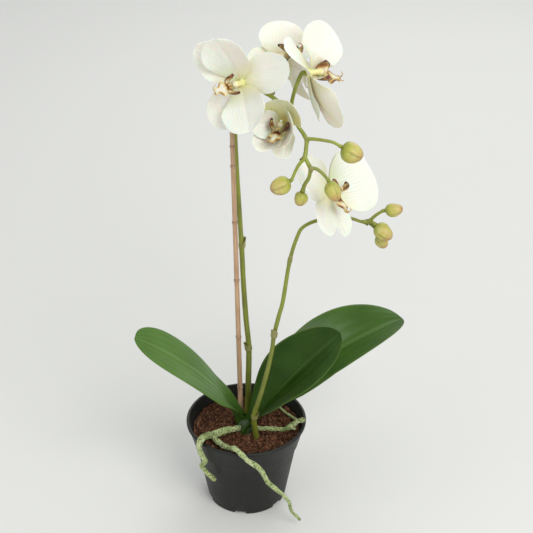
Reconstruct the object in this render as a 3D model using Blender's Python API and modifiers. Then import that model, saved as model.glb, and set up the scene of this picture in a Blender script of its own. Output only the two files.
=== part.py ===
# Potted moth orchid: a nursery pot of bark mix, a cane, two flower spikes, leaves, roots and flowers.
# The origin is the centre of the pot's underside, +Z is up and the front is -Y. Lengths are in metres.

import math

import bmesh
import bpy
import numpy as np

MM = 0.001

# Pot
POT_HEIGHT = 92 * MM
RIM_RADIUS = 60 * MM
RIM_LIP = 1.4 * MM              # how far the rolled rim stands out from the collar
RIM_DEPTH = 3.0 * MM            # height of the rolled rim
COLLAR_HEIGHT = 26 * MM         # flared band under the rim
COLLAR_INSET = 6.0 * MM         # how much narrower the collar is at its foot
STEP_INSET = 1.4 * MM           # shoulder between the collar and the wall
BASE_RADIUS = 39.5 * MM
POT_WALL = 1.3 * MM
POT_FLOOR = 2.0 * MM
POT_SIDES = 40
FOOT_WIDTH = 10 * MM             # the raised shelf inside the foot
FOOT_NOTCHES = 6
FOOT_NOTCH_TURN = 0.35          # how far round the first notch is, in notches
FOOT_NOTCH_WIDTH = 11 * MM
FOOT_NOTCH_HEIGHT = 2.6 * MM
DRAIN_HOLES = 4
DRAIN_RADIUS = 4.5 * MM
DRAIN_CIRCLE = 20 * MM

# Soil
SOIL_DROP = 12 * MM             # the mix lies this far below the rim
SOIL_DOME = 1.2 * MM            # the middle of the mix stands a little proud

# Fits
SKIN_GAP = 0.3 * MM             # gap between two pieces that touch
SOCKET_DEPTH = 24 * MM          # how deep the spikes go into the mix
CANE_DEPTH = 60 * MM            # how deep the cane goes into the mix

# Stems
CANE_BASE_RADIUS = 2.6 * MM
CANE_TOP_RADIUS = 2.1 * MM
SPIKE_BACK_RADIUS = 3.0 * MM
SPIKE_FRONT_RADIUS = 2.6 * MM
SPIKE_TIP_SHARE = 0.55          # a spike's thickness at its tip, as a share of its base
TWIG_RADIUS = 1.4 * MM
PEDICEL_RADIUS = 1.7 * MM
STALK_NECK = 1.5 * MM           # the last stretch of a stalk runs straight into its bud
STEM_SPAN_POINTS = 2            # curve points between two route points

# Crown and leaves
CROWN_RADIUS = 9.0 * MM
CROWN_RISE = 5.5 * MM           # height of the crown above the mix
CROWN_DEPTH = 12 * MM
LEAF_THICKNESS = 1.3 * MM
LEAF_ROWS = 14
LEAF_COLUMNS = 6

# Flowers
PETAL_THICKNESS = 0.7 * MM
LOBE_START = 3.2 * MM           # the lobes leave a ring of this radius
WHORL_OFFSET = 0.9 * MM         # petals stand this far before the ring, sepals as far behind it
LAST_LAYER = 2.7                # the last sepal lies this many offsets behind the ring
CLAW_HALF_WIDTH = 1.5 * MM
LOBE_ROWS = 8
LOBE_COLUMNS = 6
COLUMN_RADIUS = 2.5 * MM
COLUMN_LENGTH = 11 * MM
LIP_LENGTH = 27.5 * MM
LIP_THICKNESS = 0.9 * MM
LIP_FORWARD = 2.8 * MM          # the lip starts this far before the petals
LIP_DROP = 4.4 * MM             # and this far under the column's middle line
LIP_ROWS = 10
LIP_COLUMNS = 6

SOIL_TOP = POT_HEIGHT - SOIL_DROP
ROOT_RADIUS = 3.3 * MM

COLOURS = {
    # name: base colour, roughness
    "black_plastic": ((0.030, 0.032, 0.032, 1), 0.45),
    "bark_mix": ((0.075, 0.026, 0.013, 1), 0.95),
    "cane": ((0.40, 0.20, 0.11, 1), 0.6),
    "stem_green": ((0.13, 0.16, 0.025, 1), 0.5),
    "leaf_green": ((0.030, 0.105, 0.012, 1), 0.35),
    "root_green": ((0.36, 0.47, 0.17, 1), 0.7),
    "bud_green": ((0.32, 0.33, 0.07, 1), 0.5),
    "petal_white": ((0.84, 0.84, 0.78, 1), 0.55),
    "lip_gold": ((0.42, 0.22, 0.05, 1), 0.5),
    "column_cream": ((0.78, 0.76, 0.38, 1), 0.5),
}

# Routes: points in millimetres from the middle of the mix's surface, z up from that surface.
CANE_ROUTE = [(-5, 22, 0), (-10.4, -3, 356)]
SPIKE_BACK_ROUTE = [
    (1, 17, 0), (2, 17.5, 40), (2.8, 17, 85), (0.4, 16.5, 119), (-1.7, 15, 160), (-3.1, 13, 203), (-5.3, 11, 253),
    (-7.6, 7.5, 318), (-7, 4.5, 344), (-3.5, 2, 361), (3.5, -1, 370), (12.5, -4, 369), (22, -8, 363.5),
    (31, -13, 358.5), (40.5, -18, 352.5), (47.3, -24, 341), (54, -30, 332.5), (54, -37, 324.5), (53.2, -41, 319.5),
    (57.5, -44, 311.5), (56.7, -46, 303), (53.3, -47, 297), (51.7, -47, 291.5)]
SPIKE_FRONT_ROUTE = [
    (10, -17, 0), (8, -24, 31), (12, -28, 51), (16, -31, 68), (21.5, -35, 95), (25.5, -37, 119), (27.3, -38, 136),
    (32, -37, 158), (35.5, -36, 173), (41.5, -30, 212), (48.6, -24, 234.5), (54, -20, 241), (65, -13, 243),
    (80, -7, 243), (96, -8, 243), (107, -12, 241.5), (113, -14, 243), (117.5, -18, 243)]
BACK_TWIGS = {
    "bud_1": [(54, -30, 332.5), (61, -31, 332), (68, -32, 331.5), (77, -33, 330), (83, -34, 327)],
    "bud_2": [(53.2, -41, 319.5), (49, -43, 315), (45.5, -44, 309), (42, -46, 300.5)],
    "bud_4": [(57.5, -44, 311.5), (63, -45, 310.5), (68, -46, 307), (73, -47.5, 301.5)],
}
FRONT_TWIGS = {
    "bud_5": [(112, -13.6, 242.6), (118.7, -16, 250.5), (124.6, -18, 256)],
    "bud_7": [(110, -13, 242), (116, -12, 238), (122, -11, 230)],
}
# Buds: end of the stalk that carries each one, the direction it points in, its length and its width.
BUDS = {
    "bud_1": dict(stalk=(83, -34, 327), points=(0.85, -0.2, -0.4), length=20, width=18.5),
    "bud_2": dict(stalk=(42, -46, 300.5), points=(-0.88, -0.35, -0.3), length=18.5, width=16),
    "bud_3": dict(stalk=(51.7, -47, 291.5), points=(-0.25, -0.1, -0.95), length=13, width=12),
    "bud_4": dict(stalk=(73, -47.5, 301.5), points=(0.4, -0.5, -0.75), length=18, width=13.5),
    "bud_5": dict(stalk=(124.6, -18, 256), points=(0.95, -0.2, 0.22), length=16, width=12.5),
    "bud_6": dict(stalk=(117.5, -18, 243), points=(0.7, -0.45, -0.5), length=18.5, width=15.5),
    "bud_7": dict(stalk=(122, -11, 230), points=(0.4, -0.45, -0.8), length=13.5, width=12.5),
}
# Leaves: place of the base, compass heading, climb at base and tip, length, width, roll at base and tip,
# fold of the two halves, how fast the climb changes and how blunt the tip is. Angles are in degrees.
LEAVES = {
    "leaf_left": dict(base=(-9, 0.5, 9.5), heading=202, climb=(78, 37), length=161, width=60,
                      roll=(-12, -20), fold=4, ease=0.5, blunt=2.2),
    "leaf_middle": dict(base=(5.5, -5, 6.5), heading=-7, climb=(63, 47), length=145, width=67,
                        roll=(24, 58), fold=35, ease=0.73, blunt=1.6),
    "leaf_right": dict(base=(7, 7.5, 6.5), heading=22, climb=(46.5, 9.5), length=185, width=80,
                       roll=(41, 0), fold=35, ease=0.8, blunt=2.35),
}
# Flowers: centre, way it faces, way its top sepal points, stalk route from the spike, and its five lobes
# as (clock angle, lean forward, curl, length, width, twist). Clock angle 90 is the top of the flower, and
# cup is how far, in degrees, each half of a lobe curves across.
FLOWERS = {
    "flower_left": dict(
        centre=(-1, -38, 386), faces=(-0.53, -0.83, 0.17), top=(0.77, -0.39, 0.50),
        stalk=[(12.5, -4, 369), (10, -14, 376), (5.5, -26, 383)],
        cup=22, lip_turn=94,
        dorsal_sepal=(88, 4, 6, 54, 34, 0), left_sepal=(209, 11, 8, 49, 34, 0),
        right_sepal=(304, 6, 10, 46, 34, 0),
        left_petal=(170, 21, 20, 46, 45, 0), right_petal=(2, 16, 14, 44, 46, 0)),
    "flower_top": dict(
        centre=(55.5, -34, 393), faces=(0.98, 0.15, 0.0), top=(0, -0.64, 0.77),
        stalk=[(40.5, -18, 352.5), (42.3, -24, 366), (45, -31, 380)],
        cup=22, lip_turn=82,
        dorsal_sepal=(85, -26, -14, 47, 34, 14), left_sepal=(228, 4, 20, 44, 27, 0),
        right_sepal=(296, 2, 10, 33, 24, 0),
        left_petal=(203, 13, 30, 52, 42, -14), right_petal=(16, 22, 18, 44, 46, -58)),
    "flower_hanging": dict(
        centre=(35, -20, 339.5), faces=(-0.30, -0.86, 0.30), top=(0.15, 0.1, 0.95),
        stalk=[(31, -13, 358.5), (35, -10, 351), (37, -12, 343)],
        cup=50, lip_turn=82,
        dorsal_sepal=(80, 36, 24, 36, 42, 0), left_sepal=(236, 34, 34, 38, 24, 0),
        right_sepal=(298, 29, 34, 38, 24, 0),
        left_petal=(182, 42, 26, 34, 28, 0), right_petal=(1, 58, 14, 42, 37, 0)),
    "flower_front": dict(
        centre=(76.5, -13, 272), faces=(0.64, -0.46, 0.61), top=(-0.14, 0.76, 0.63),
        stalk=[(80, -7, 243), (74, -1, 251), (69.5, -3, 260)],
        cup=22, lip_turn=46,
        dorsal_sepal=(47, 6, 8, 58, 40, 0), left_sepal=(246, -4, 34, 53, 27, 0),
        right_sepal=(300, -2, -6, 43, 25, 0),
        left_petal=(162, 4, 8, 44, 44, 0), right_petal=(25, 19, 20, 46, 60, 0)),
    "flower_rear": dict(
        centre=(33, 8, 388), faces=(0.2, -0.7, 0.68), top=(-1, -0.1, 0.1),
        stalk=[(22, -8, 363.5), (27, 2, 368), (31, 11, 378)],
        cup=22, lip_turn=82,
        dorsal_sepal=(104, 6, -6, 31, 30, 0), left_sepal=(250, -8, -8, 33, 23, 0),
        right_sepal=(316, -12, -10, 36, 26, 0),
        left_petal=(212, 4, 14, 44, 16, 84), right_petal=(6, 10, 12, 34, 40, 0)),
}


def remove_everything():
    for item in list(bpy.data.objects):
        bpy.data.objects.remove(item, do_unlink=True)


def new_collection(name):
    collection = bpy.data.collections.new(name)
    bpy.context.scene.collection.children.link(collection)
    return collection


def make_material(name):
    colour, roughness = COLOURS[name]
    material = bpy.data.materials.new(name)
    material.use_nodes = True
    shader = material.node_tree.nodes["Principled BSDF"]
    shader.inputs["Base Color"].default_value = colour
    shader.inputs["Roughness"].default_value = roughness
    shader.inputs["Metallic"].default_value = 0.0
    return material


def soil_point(point):
    """A route point in millimetres, as a place in metres above the middle of the mix."""
    return np.array(point, float) * MM + np.array([0.0, 0.0, SOIL_TOP])


def unit(vector):
    vector = np.asarray(vector, float)
    return vector / np.linalg.norm(vector)


def smooth_route(points, span_points=STEM_SPAN_POINTS):
    """Catmull-Rom curve through the points, with span_points steps between each two."""
    points = np.asarray(points, float)
    if len(points) == 2:
        return points
    ends = np.vstack([2 * points[0] - points[1], points, 2 * points[-1] - points[-2]])
    steps = np.linspace(0, 1, span_points, endpoint=False)[:, None]
    curve = []
    for start in range(1, len(ends) - 2):
        before, here, there, after = ends[start - 1:start + 3]
        curve.append(0.5 * (2 * here + (there - before) * steps
                            + (2 * before - 5 * here + 4 * there - after) * steps ** 2
                            + (3 * here - before - 3 * there + after) * steps ** 3))
    return np.vstack(curve + [points[-1:]])


def add_object(name, mesh, collection, material=None):
    item = bpy.data.objects.new(name, mesh)
    collection.objects.link(item)
    if material:
        mesh.materials.clear()
        mesh.materials.append(material)
    return item


def hide_as_cutter(item):
    item.hide_render = True
    item.display_type = "WIRE"
    return item


def finish_round(item, angle=40):
    item.data.shade_smooth()
    item.data.set_sharp_from_angle(angle=math.radians(angle))
    return item


def tube(name, points, radii, collection, material=None):
    """A round bar along the points, with its own thickness at each, as a closed mesh."""
    curve = bpy.data.curves.new(name, "CURVE")
    curve.dimensions = "3D"
    curve.resolution_u = 1
    curve.render_resolution_u = 0
    curve.bevel_depth = max(radii)
    curve.bevel_resolution = 2
    curve.use_fill_caps = True
    spline = curve.splines.new("POLY")
    spline.points.add(len(points) - 1)
    for place, point, radius in zip(spline.points, points, radii):
        place.co = (*point, 1)
        place.radius = radius / curve.bevel_depth
    guide = bpy.data.objects.new(name + "_guide", curve)
    collection.objects.link(guide)
    evaluated = guide.evaluated_get(bpy.context.evaluated_depsgraph_get())
    mesh = bpy.data.meshes.new_from_object(evaluated)
    shape = bmesh.new()
    shape.from_mesh(mesh)
    bmesh.ops.remove_doubles(shape, verts=shape.verts, dist=0.001 * MM)
    bmesh.ops.recalc_face_normals(shape, faces=shape.faces)
    shape.to_mesh(mesh)
    shape.free()
    item = add_object(name, mesh, collection, material)
    item.matrix_world = guide.matrix_world
    bpy.data.objects.remove(guide, do_unlink=True)
    return item


def apply_boolean(item, operation, tool):
    modifier = item.modifiers.new(operation.lower(), "BOOLEAN")
    modifier.operation = operation
    modifier.solver = "EXACT"
    modifier.object = tool
    hide_as_cutter(tool)


def tapered(count, start, end):
    return np.linspace(start, end, count)


def lengthened(points, start_by=0.0, end_by=0.0):
    """The same route, carried on straight at its two ends."""
    points = np.array(points, float)
    first = points[0] - unit(points[1] - points[0]) * start_by
    last = points[-1] + unit(points[-1] - points[-2]) * end_by
    parts = [points]
    if start_by:
        parts.insert(0, first[None])
    if end_by:
        parts.append(last[None])
    return np.vstack(parts)


def pot_outer_radius(height):
    """Radius of the pot's outer wall at a height, without the rolled rim."""
    collar_foot = POT_HEIGHT - COLLAR_HEIGHT
    collar_low = RIM_RADIUS - RIM_LIP - COLLAR_INSET
    if height >= collar_foot:
        share = (height - collar_foot) / COLLAR_HEIGHT
        return collar_low + (RIM_RADIUS - RIM_LIP - collar_low) * share
    return BASE_RADIUS + (collar_low - STEP_INSET - BASE_RADIUS) * height / collar_foot


def turned(name, profile, collection, material=None, sides=POT_SIDES):
    """A turned solid from a closed profile of (radius, height) points, from the axis round to the axis."""
    mesh = bpy.data.meshes.new(name)
    points = [(radius, 0.0, height) for radius, height in profile]
    mesh.from_pydata(points, [(k, k + 1) for k in range(len(points) - 1)], [])
    item = add_object(name, mesh, collection, material)
    screw = item.modifiers.new("turn", "SCREW")
    screw.steps = sides
    screw.render_steps = sides
    screw.use_merge_vertices = True
    screw.merge_threshold = 0.01 * MM
    screw.use_smooth_shade = True
    return item


def pot_inner_wall():
    """The inner wall's radii and heights, from the floor's edge up to the rim."""
    collar_foot = POT_HEIGHT - COLLAR_HEIGHT
    collar_low = RIM_RADIUS - RIM_LIP - COLLAR_INSET
    shelf = FOOT_NOTCH_HEIGHT + POT_FLOOR
    radii = [pot_outer_radius(shelf) - POT_WALL, collar_low - STEP_INSET - POT_WALL, collar_low - POT_WALL,
             RIM_RADIUS - RIM_LIP - POT_WALL]
    return radii, [shelf, collar_foot, collar_foot + STEP_INSET, POT_HEIGHT]


def build_pot(parts, cutters, material):
    """A turned shell with a rolled rim, a flared collar, a raised shelf over the foot notches and drain holes."""
    collar_foot = POT_HEIGHT - COLLAR_HEIGHT
    collar_low = RIM_RADIUS - RIM_LIP - COLLAR_INSET
    radii, heights = pot_inner_wall()
    profile = [(0.0, POT_FLOOR), (BASE_RADIUS - FOOT_WIDTH - POT_FLOOR, POT_FLOOR),
               (BASE_RADIUS - FOOT_WIDTH, heights[0])]
    profile += list(zip(radii, heights))
    profile += [
        (RIM_RADIUS - 0.4 * RIM_LIP, POT_HEIGHT), (RIM_RADIUS, POT_HEIGHT - 0.3 * RIM_DEPTH),
        (RIM_RADIUS, POT_HEIGHT - 0.8 * RIM_DEPTH), (RIM_RADIUS - RIM_LIP, POT_HEIGHT - RIM_DEPTH),
        (collar_low, collar_foot), (collar_low - STEP_INSET, collar_foot - 0.5 * STEP_INSET),
        (BASE_RADIUS, 0.0), (0.0, 0.0)]
    pot = turned("nursery_pot", profile, parts, material)
    for index in range(FOOT_NOTCHES):
        angle = 2 * math.pi * (index + FOOT_NOTCH_TURN) / FOOT_NOTCHES
        bpy.ops.mesh.primitive_cube_add(size=1)
        notch = bpy.context.object
        notch.name = f"foot_notch_{index + 1}"
        notch.scale = (2 * (FOOT_WIDTH - POT_FLOOR), FOOT_NOTCH_WIDTH, 2 * FOOT_NOTCH_HEIGHT)
        notch.location = (BASE_RADIUS * math.cos(angle), BASE_RADIUS * math.sin(angle), 0)
        notch.rotation_euler = (0, 0, angle)
        move_to(notch, cutters)
        apply_boolean(pot, "DIFFERENCE", notch)
    for index in range(DRAIN_HOLES):
        angle = 2 * math.pi * (index + 0.5) / DRAIN_HOLES
        bpy.ops.mesh.primitive_cylinder_add(vertices=16, radius=DRAIN_RADIUS, depth=6 * POT_FLOOR)
        drill = bpy.context.object
        drill.name = f"drain_drill_{index + 1}"
        drill.location = (DRAIN_CIRCLE * math.cos(angle), DRAIN_CIRCLE * math.sin(angle), 0)
        move_to(drill, cutters)
        apply_boolean(pot, "DIFFERENCE", drill)
    return pot


def move_to(item, collection):
    for owner in list(item.users_collection):
        owner.objects.unlink(item)
    collection.objects.link(item)


def soil_radius(height):
    """Radius of the mix at a height: the inner wall's, less the gap measured square to the wall."""
    radii, heights = pot_inner_wall()
    slope = (radii[-1] - radii[0]) / (heights[-1] - heights[0])
    return float(np.interp(height, heights, radii)) - SKIN_GAP * math.hypot(1, slope)


def build_soil(parts, cutters, material, sockets):
    """The bark mix: it fills the pot from the shelf up, with a slightly domed top and a hole for each stem."""
    _, heights = pot_inner_wall()
    bottom = heights[0] + SKIN_GAP
    edge = SOIL_TOP - SOIL_DOME
    profile = [(0.0, SOIL_TOP), (0.35 * RIM_RADIUS, SOIL_TOP - 0.2 * SOIL_DOME),
               (0.7 * RIM_RADIUS, SOIL_TOP - 0.6 * SOIL_DOME), (soil_radius(edge), edge),
               (soil_radius(heights[2]), heights[2] + SKIN_GAP), (soil_radius(heights[1]), heights[1]),
               (soil_radius(bottom), bottom), (0.0, bottom)]
    soil = turned("potting_mix", profile, parts, material)
    for socket in sockets:
        apply_boolean(soil, "DIFFERENCE", socket)
    return soil


def stem_radii(count, base, tip_share=SPIKE_TIP_SHARE):
    return tapered(count, base, base * tip_share)


def build_cane(parts, cutters, material):
    """The cane and the hole it stands in."""
    route = [soil_point(point) for point in CANE_ROUTE]
    knots = 10
    line = np.array([route[0] + (route[1] - route[0]) * k / knots for k in range(knots + 1)])
    line = lengthened(line, start_by=CANE_DEPTH)
    radii = tapered(len(line), CANE_BASE_RADIUS, CANE_TOP_RADIUS)
    cane = finish_round(tube("support_cane", line, radii, parts, material))
    hole = lengthened(line[:3], start_by=2 * SKIN_GAP)
    socket = tube("cane_hole", hole, [CANE_BASE_RADIUS + 2 * SKIN_GAP] * len(hole), cutters)
    return cane, socket


def build_spike(name, route, base_radius, twigs, end_bud, flowers, parts, cutters, material):
    """A flower spike with its side twigs and flower stalks grown on, and the hole it stands in."""
    path = smooth_route([soil_point(point) for point in route])
    path = lengthened(path, start_by=SOCKET_DEPTH)
    path = np.vstack([path, path[-1] + unit(BUDS[end_bud]["points"]) * STALK_NECK])
    radii = stem_radii(len(path), base_radius)
    spike = tube(name, path, radii, parts, material)
    for twig_name, twig_route in twigs.items():
        twig_path = smooth_route([soil_point(point) for point in twig_route])
        twig_path = np.vstack([twig_path, twig_path[-1] + unit(BUDS[twig_name]["points"]) * STALK_NECK])
        twig = tube(f"{name}_twig_{twig_name}", twig_path, tapered(len(twig_path), TWIG_RADIUS * 1.15, TWIG_RADIUS),
                    cutters)
        apply_boolean(spike, "UNION", twig)
    for flower_name in flowers:
        flower = FLOWERS[flower_name]
        centre = soil_point(flower["centre"])
        back = unit(flower["faces"])
        stalk = [soil_point(point) for point in flower["stalk"]]
        stalk.append(centre - back * (column_start() + 4 * STALK_NECK))
        stalk.append(centre - back * (column_start() + STALK_NECK))
        stalk_path = smooth_route(stalk)
        stalk_tube = tube(f"{name}_stalk_{flower_name}", stalk_path,
                          tapered(len(stalk_path), PEDICEL_RADIUS * 1.1, PEDICEL_RADIUS), cutters)
        apply_boolean(spike, "UNION", stalk_tube)
    finish_round(spike)
    hole = lengthened(path[:4], start_by=2 * SKIN_GAP)
    socket = tube(f"{name}_hole", hole, [base_radius + 2 * SKIN_GAP] * len(hole), cutters)
    return spike, socket


def build_crown(parts, cutters, material):
    """The short stem that the leaves and roots grow from, widest at the surface, and its hole in the mix."""
    low = -CROWN_DEPTH
    profile = [(0.0, CROWN_RISE), (0.45 * CROWN_RADIUS, 0.93 * CROWN_RISE), (0.8 * CROWN_RADIUS, 0.6 * CROWN_RISE),
               (CROWN_RADIUS, 0.1 * CROWN_RISE), (0.92 * CROWN_RADIUS, 0.4 * low), (0.6 * CROWN_RADIUS, low),
               (0.0, low)]
    crown = turned("plant_crown", profile, parts, material, sides=20)
    crown.location = (0, -3 * MM, SOIL_TOP)
    bpy.ops.mesh.primitive_cylinder_add(vertices=20, radius=CROWN_RADIUS + 2 * SKIN_GAP,
                                        depth=2 * (CROWN_DEPTH + SKIN_GAP))
    socket = bpy.context.object
    socket.name = "crown_hole"
    socket.location = (0, -3 * MM, SOIL_TOP)
    move_to(socket, cutters)
    return crown, socket


def grid_solid(name, shape, rows, columns, thickness, collection, material):
    """A flat grid bent by shape(u, v), u from 0 to 1 along it and v from -1 to 1 across, made solid."""
    mesh = bpy.data.meshes.new(name)
    sheet = bmesh.new()
    bmesh.ops.create_grid(sheet, x_segments=rows, y_segments=columns, size=1)
    flat = np.array([vertex.co for vertex in sheet.verts])
    placed = shape((flat[:, 0] + 1) / 2, flat[:, 1])
    for vertex, place in zip(sheet.verts, placed):
        vertex.co = place
    sheet.to_mesh(mesh)
    sheet.free()
    item = add_object(name, mesh, collection, material)
    solid = item.modifiers.new("thickness", "SOLIDIFY")
    solid.thickness = thickness
    solid.offset = 0
    return finish_round(item, 50)


def leaf_half_width(along, width, blunt):
    """Half width of a leaf: narrow where it clasps the crown, widest past the middle, with a round tip."""
    widest = 0.58
    swell = 0.26 + 0.74 * np.sin(np.pi / 2 * np.clip(along / widest, 0, 1)) ** 1.3
    tip = np.clip((along - widest) / (1 - widest), 0, 1)
    return np.maximum(width / 2 * swell * np.sqrt(1 - tip ** blunt), 1.2 * MM)


def integrate(values, spacing):
    """Running sum of the values by the trapezium rule."""
    steps = (values[1:] + values[:-1]) / 2 * spacing
    return np.vstack([np.zeros((1, values.shape[1])), np.cumsum(steps, axis=0)])


def leaf_shape(leaf):
    """A leaf's surface: its midrib climbs and arches over, and its halves fold up towards its base."""
    stations = np.linspace(0, 1, 61)
    climb = np.radians(leaf["climb"][0] + (leaf["climb"][1] - leaf["climb"][0]) * stations ** leaf["ease"])
    heading = math.radians(leaf["heading"])
    direction = np.stack([np.cos(climb) * math.cos(heading), np.cos(climb) * math.sin(heading),
                          np.sin(climb)], 1)
    midrib = soil_point(leaf["base"]) + integrate(direction, 1 / 60) * leaf["length"] * MM
    across = np.array([-math.sin(heading), math.cos(heading), 0.0])

    def shape(u, v):
        u = 1 - (1 - u) ** 1.35
        place = np.stack([np.interp(u, stations, midrib[:, axis]) for axis in range(3)], 1)
        tangent = np.stack([np.interp(u, stations, direction[:, axis]) for axis in range(3)], 1)
        tangent /= np.linalg.norm(tangent, axis=1)[:, None]
        upward = np.cross(tangent, across)
        roll = np.radians(leaf["roll"][0] + (leaf["roll"][1] - leaf["roll"][0]) * u)[:, None]
        side = np.cos(roll) * across + np.sin(roll) * upward
        normal = np.cos(roll) * upward - np.sin(roll) * across
        half = leaf_half_width(u, leaf["width"] * MM, leaf["blunt"])
        fold = leaf["fold"] + (62 - leaf["fold"]) * np.clip(1 - u / 0.3, 0, 1) ** 1.5
        fold = np.radians(fold * (1 - 0.5 * np.clip((u - 0.5) / 0.5, 0, 1)))
        spread = (v * half * np.cos(fold))[:, None]
        lift = (np.abs(v) * half * np.sin(fold))[:, None]
        return place + spread * side + lift * normal

    return shape


def lobe_half_width(along, width, kind):
    """Half width of a lobe: a narrow claw that swells to its widest near the middle, with a round end."""
    widest, swell_power, end_power = (0.54, 0.62, 2.2) if kind == "petal" else (0.52, 0.85, 2.0)
    swell = np.sin(np.pi / 2 * np.clip(along / widest, 0, 1)) ** swell_power
    end = np.clip((along - widest) / (1 - widest), 0, 1)
    half = (CLAW_HALF_WIDTH + (width / 2 - CLAW_HALF_WIDTH) * swell) * np.sqrt(1 - end ** end_power)
    return np.maximum(half, 0.8 * MM)


def lobe_shape(flower, lobe, kind, layer):
    """A petal or sepal: it leans forward from the ring, curls along its length and cups across."""
    clock, lean, curl, length, width, twist = lobe
    length *= MM
    width *= MM
    faces = unit(flower["faces"])
    top = np.array(flower["top"], float)
    top = unit(top - faces * (top @ faces))
    side_axis = np.cross(top, faces)
    outward = math.cos(math.radians(clock)) * side_axis + math.sin(math.radians(clock)) * top
    across = np.cross(faces, outward)
    base = soil_point(flower["centre"]) + faces * WHORL_OFFSET * layer
    stations = np.linspace(0, 1, 41)
    angle = np.radians(lean + curl * stations)
    run = integrate(np.stack([np.cos(angle), np.sin(angle)], 1), 1 / 40) * (length - LOBE_START)
    cup_radius = width / 2 / math.radians(flower["cup"])

    def shape(u, v):
        u = 1 - (1 - u) ** 1.3
        out = LOBE_START + np.interp(u, stations, run[:, 0])
        forward = np.interp(u, stations, run[:, 1])
        tilt = np.radians(lean + curl * u)[:, None]
        square = np.cos(tilt) * faces - np.sin(tilt) * outward
        turn = np.radians(twist * np.clip(u / 0.35, 0, 1))[:, None]
        side = np.cos(turn) * across + np.sin(turn) * square
        normal = np.cos(turn) * square - np.sin(turn) * across
        half = lobe_half_width(u, width, kind)
        spread = cup_radius * np.sin(v * half / cup_radius)
        lift = cup_radius * (1 - np.cos(v * half / cup_radius))
        return (base + out[:, None] * outward + forward[:, None] * faces
                + spread[:, None] * side + lift[:, None] * normal)

    return shape


def lip_shape(flower):
    """The lip: a claw, two side lobes that curl up round the column, a waist and a pointed middle lobe."""
    faces = unit(flower["faces"])
    top = np.array(flower["top"], float)
    top = unit(top - faces * (top @ faces))
    across = np.cross(faces, -top)
    base = soil_point(flower["centre"]) + faces * (WHORL_OFFSET + LIP_FORWARD) - top * LIP_DROP
    stations = np.linspace(0, 1, 41)
    angle = np.radians(flower["lip_turn"] - 30 * stations ** 1.5)
    run = integrate(np.stack([np.cos(angle), np.sin(angle)], 1), 1 / 40) * LIP_LENGTH

    def shape(u, v):
        out = np.interp(u, stations, run[:, 0])
        forward = np.interp(u, stations, run[:, 1])
        side_lobes = 10.0 * np.exp(-((u - 0.52) / 0.17) ** 2)
        middle_lobe = 4.2 * np.exp(-((u - 0.86) / 0.10) ** 2)
        half = (1.5 + side_lobes + middle_lobe) * (1 - 0.6 * np.clip((u - 0.9) / 0.1, 0, 1)) * MM
        trough = (6.4 + 8 * np.clip((u - 0.65) / 0.35, 0, 1)) * MM
        tilt = np.interp(u, stations, angle)[:, None]
        normal = np.cos(tilt) * faces + np.sin(tilt) * top
        spread = trough * np.sin(v * half / trough)
        lift = trough * (1 - np.cos(v * half / trough))
        return (base - out[:, None] * top + forward[:, None] * faces
                + spread[:, None] * across + lift[:, None] * normal)

    return shape


def column_start():
    """How far behind the flower's centre its column begins."""
    return WHORL_OFFSET - PETAL_THICKNESS


def build_column(name, flower, parts, material):
    """The column: a short bar over the lip, thicker and rounded at its hooded end."""
    faces = unit(flower["faces"])
    top = np.array(flower["top"], float)
    top = unit(top - faces * (top @ faces))
    centre = soil_point(flower["centre"])
    shares = [0.0, 0.3, 0.6, 0.85, 1.0]
    bow = [0.0, 1.0, 1.3, 1.0, 0.2]
    sizes = [0.85, 0.8, 1.0, 1.15, 0.7]
    line = [centre + faces * (COLUMN_LENGTH * share - column_start()) + top * rise * MM
            for share, rise in zip(shares, bow)]
    radii = [COLUMN_RADIUS * size for size in sizes]
    return finish_round(tube(name, line, radii, parts, material))


def build_flower(name, flower, parts, materials):
    layers = {"dorsal_sepal": -1, "left_sepal": -1, "right_sepal": -LAST_LAYER,
              "left_petal": 1, "right_petal": 1}
    for lobe_name, layer in layers.items():
        shape = lobe_shape(flower, flower[lobe_name], lobe_name.split("_")[1], layer)
        grid_solid(f"{name}_{lobe_name}", shape, LOBE_ROWS, LOBE_COLUMNS, PETAL_THICKNESS, parts,
                   materials["petal_white"])
    grid_solid(f"{name}_lip", lip_shape(flower), LIP_ROWS, LIP_COLUMNS, LIP_THICKNESS, parts,
               materials["lip_gold"])
    build_column(f"{name}_column", flower, parts, materials["column_cream"])


def build_bud(name, bud, parts, material):
    """A closed bud: an egg with three shallow creases, sitting just past the end of its stalk."""
    points = unit(bud["points"])
    length = bud["length"] * MM
    width = bud["width"] * MM
    centre = soil_point(bud["stalk"]) + points * (length / 2 + STALK_NECK + 2 * SKIN_GAP)
    aside = unit(np.cross(points, (0.0, 0.0, 1.0)))
    other = np.cross(points, aside)
    mesh = bpy.data.meshes.new(name)
    egg = bmesh.new()
    bmesh.ops.create_uvsphere(egg, u_segments=12, v_segments=8, radius=1)
    for vertex in egg.verts:
        x, y, z = vertex.co
        swell = 1 + 0.14 * (-z) - 0.05 * abs(math.cos(1.5 * math.atan2(y, x)))
        vertex.co = centre + points * z * length / 2 + (aside * x + other * y) * swell * width / 2
    egg.to_mesh(mesh)
    egg.free()
    return finish_round(add_object(name, mesh, parts, material), 80)


def over_rim(angle, past_rim, above_rim):
    """A place near the rim, by compass angle in degrees and millimetres past the rim and above it."""
    radius = RIM_RADIUS + past_rim * MM
    return np.array([radius * math.cos(math.radians(angle)), radius * math.sin(math.radians(angle)),
                     POT_HEIGHT + above_rim * MM])


def on_soil(angle, share, above_soil):
    """A place on the mix, by compass angle and share of the rim's radius, and millimetres above it."""
    radius = RIM_RADIUS * share
    return np.array([radius * math.cos(math.radians(angle)), radius * math.sin(math.radians(angle)),
                     SOIL_TOP + above_soil * MM])


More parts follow.
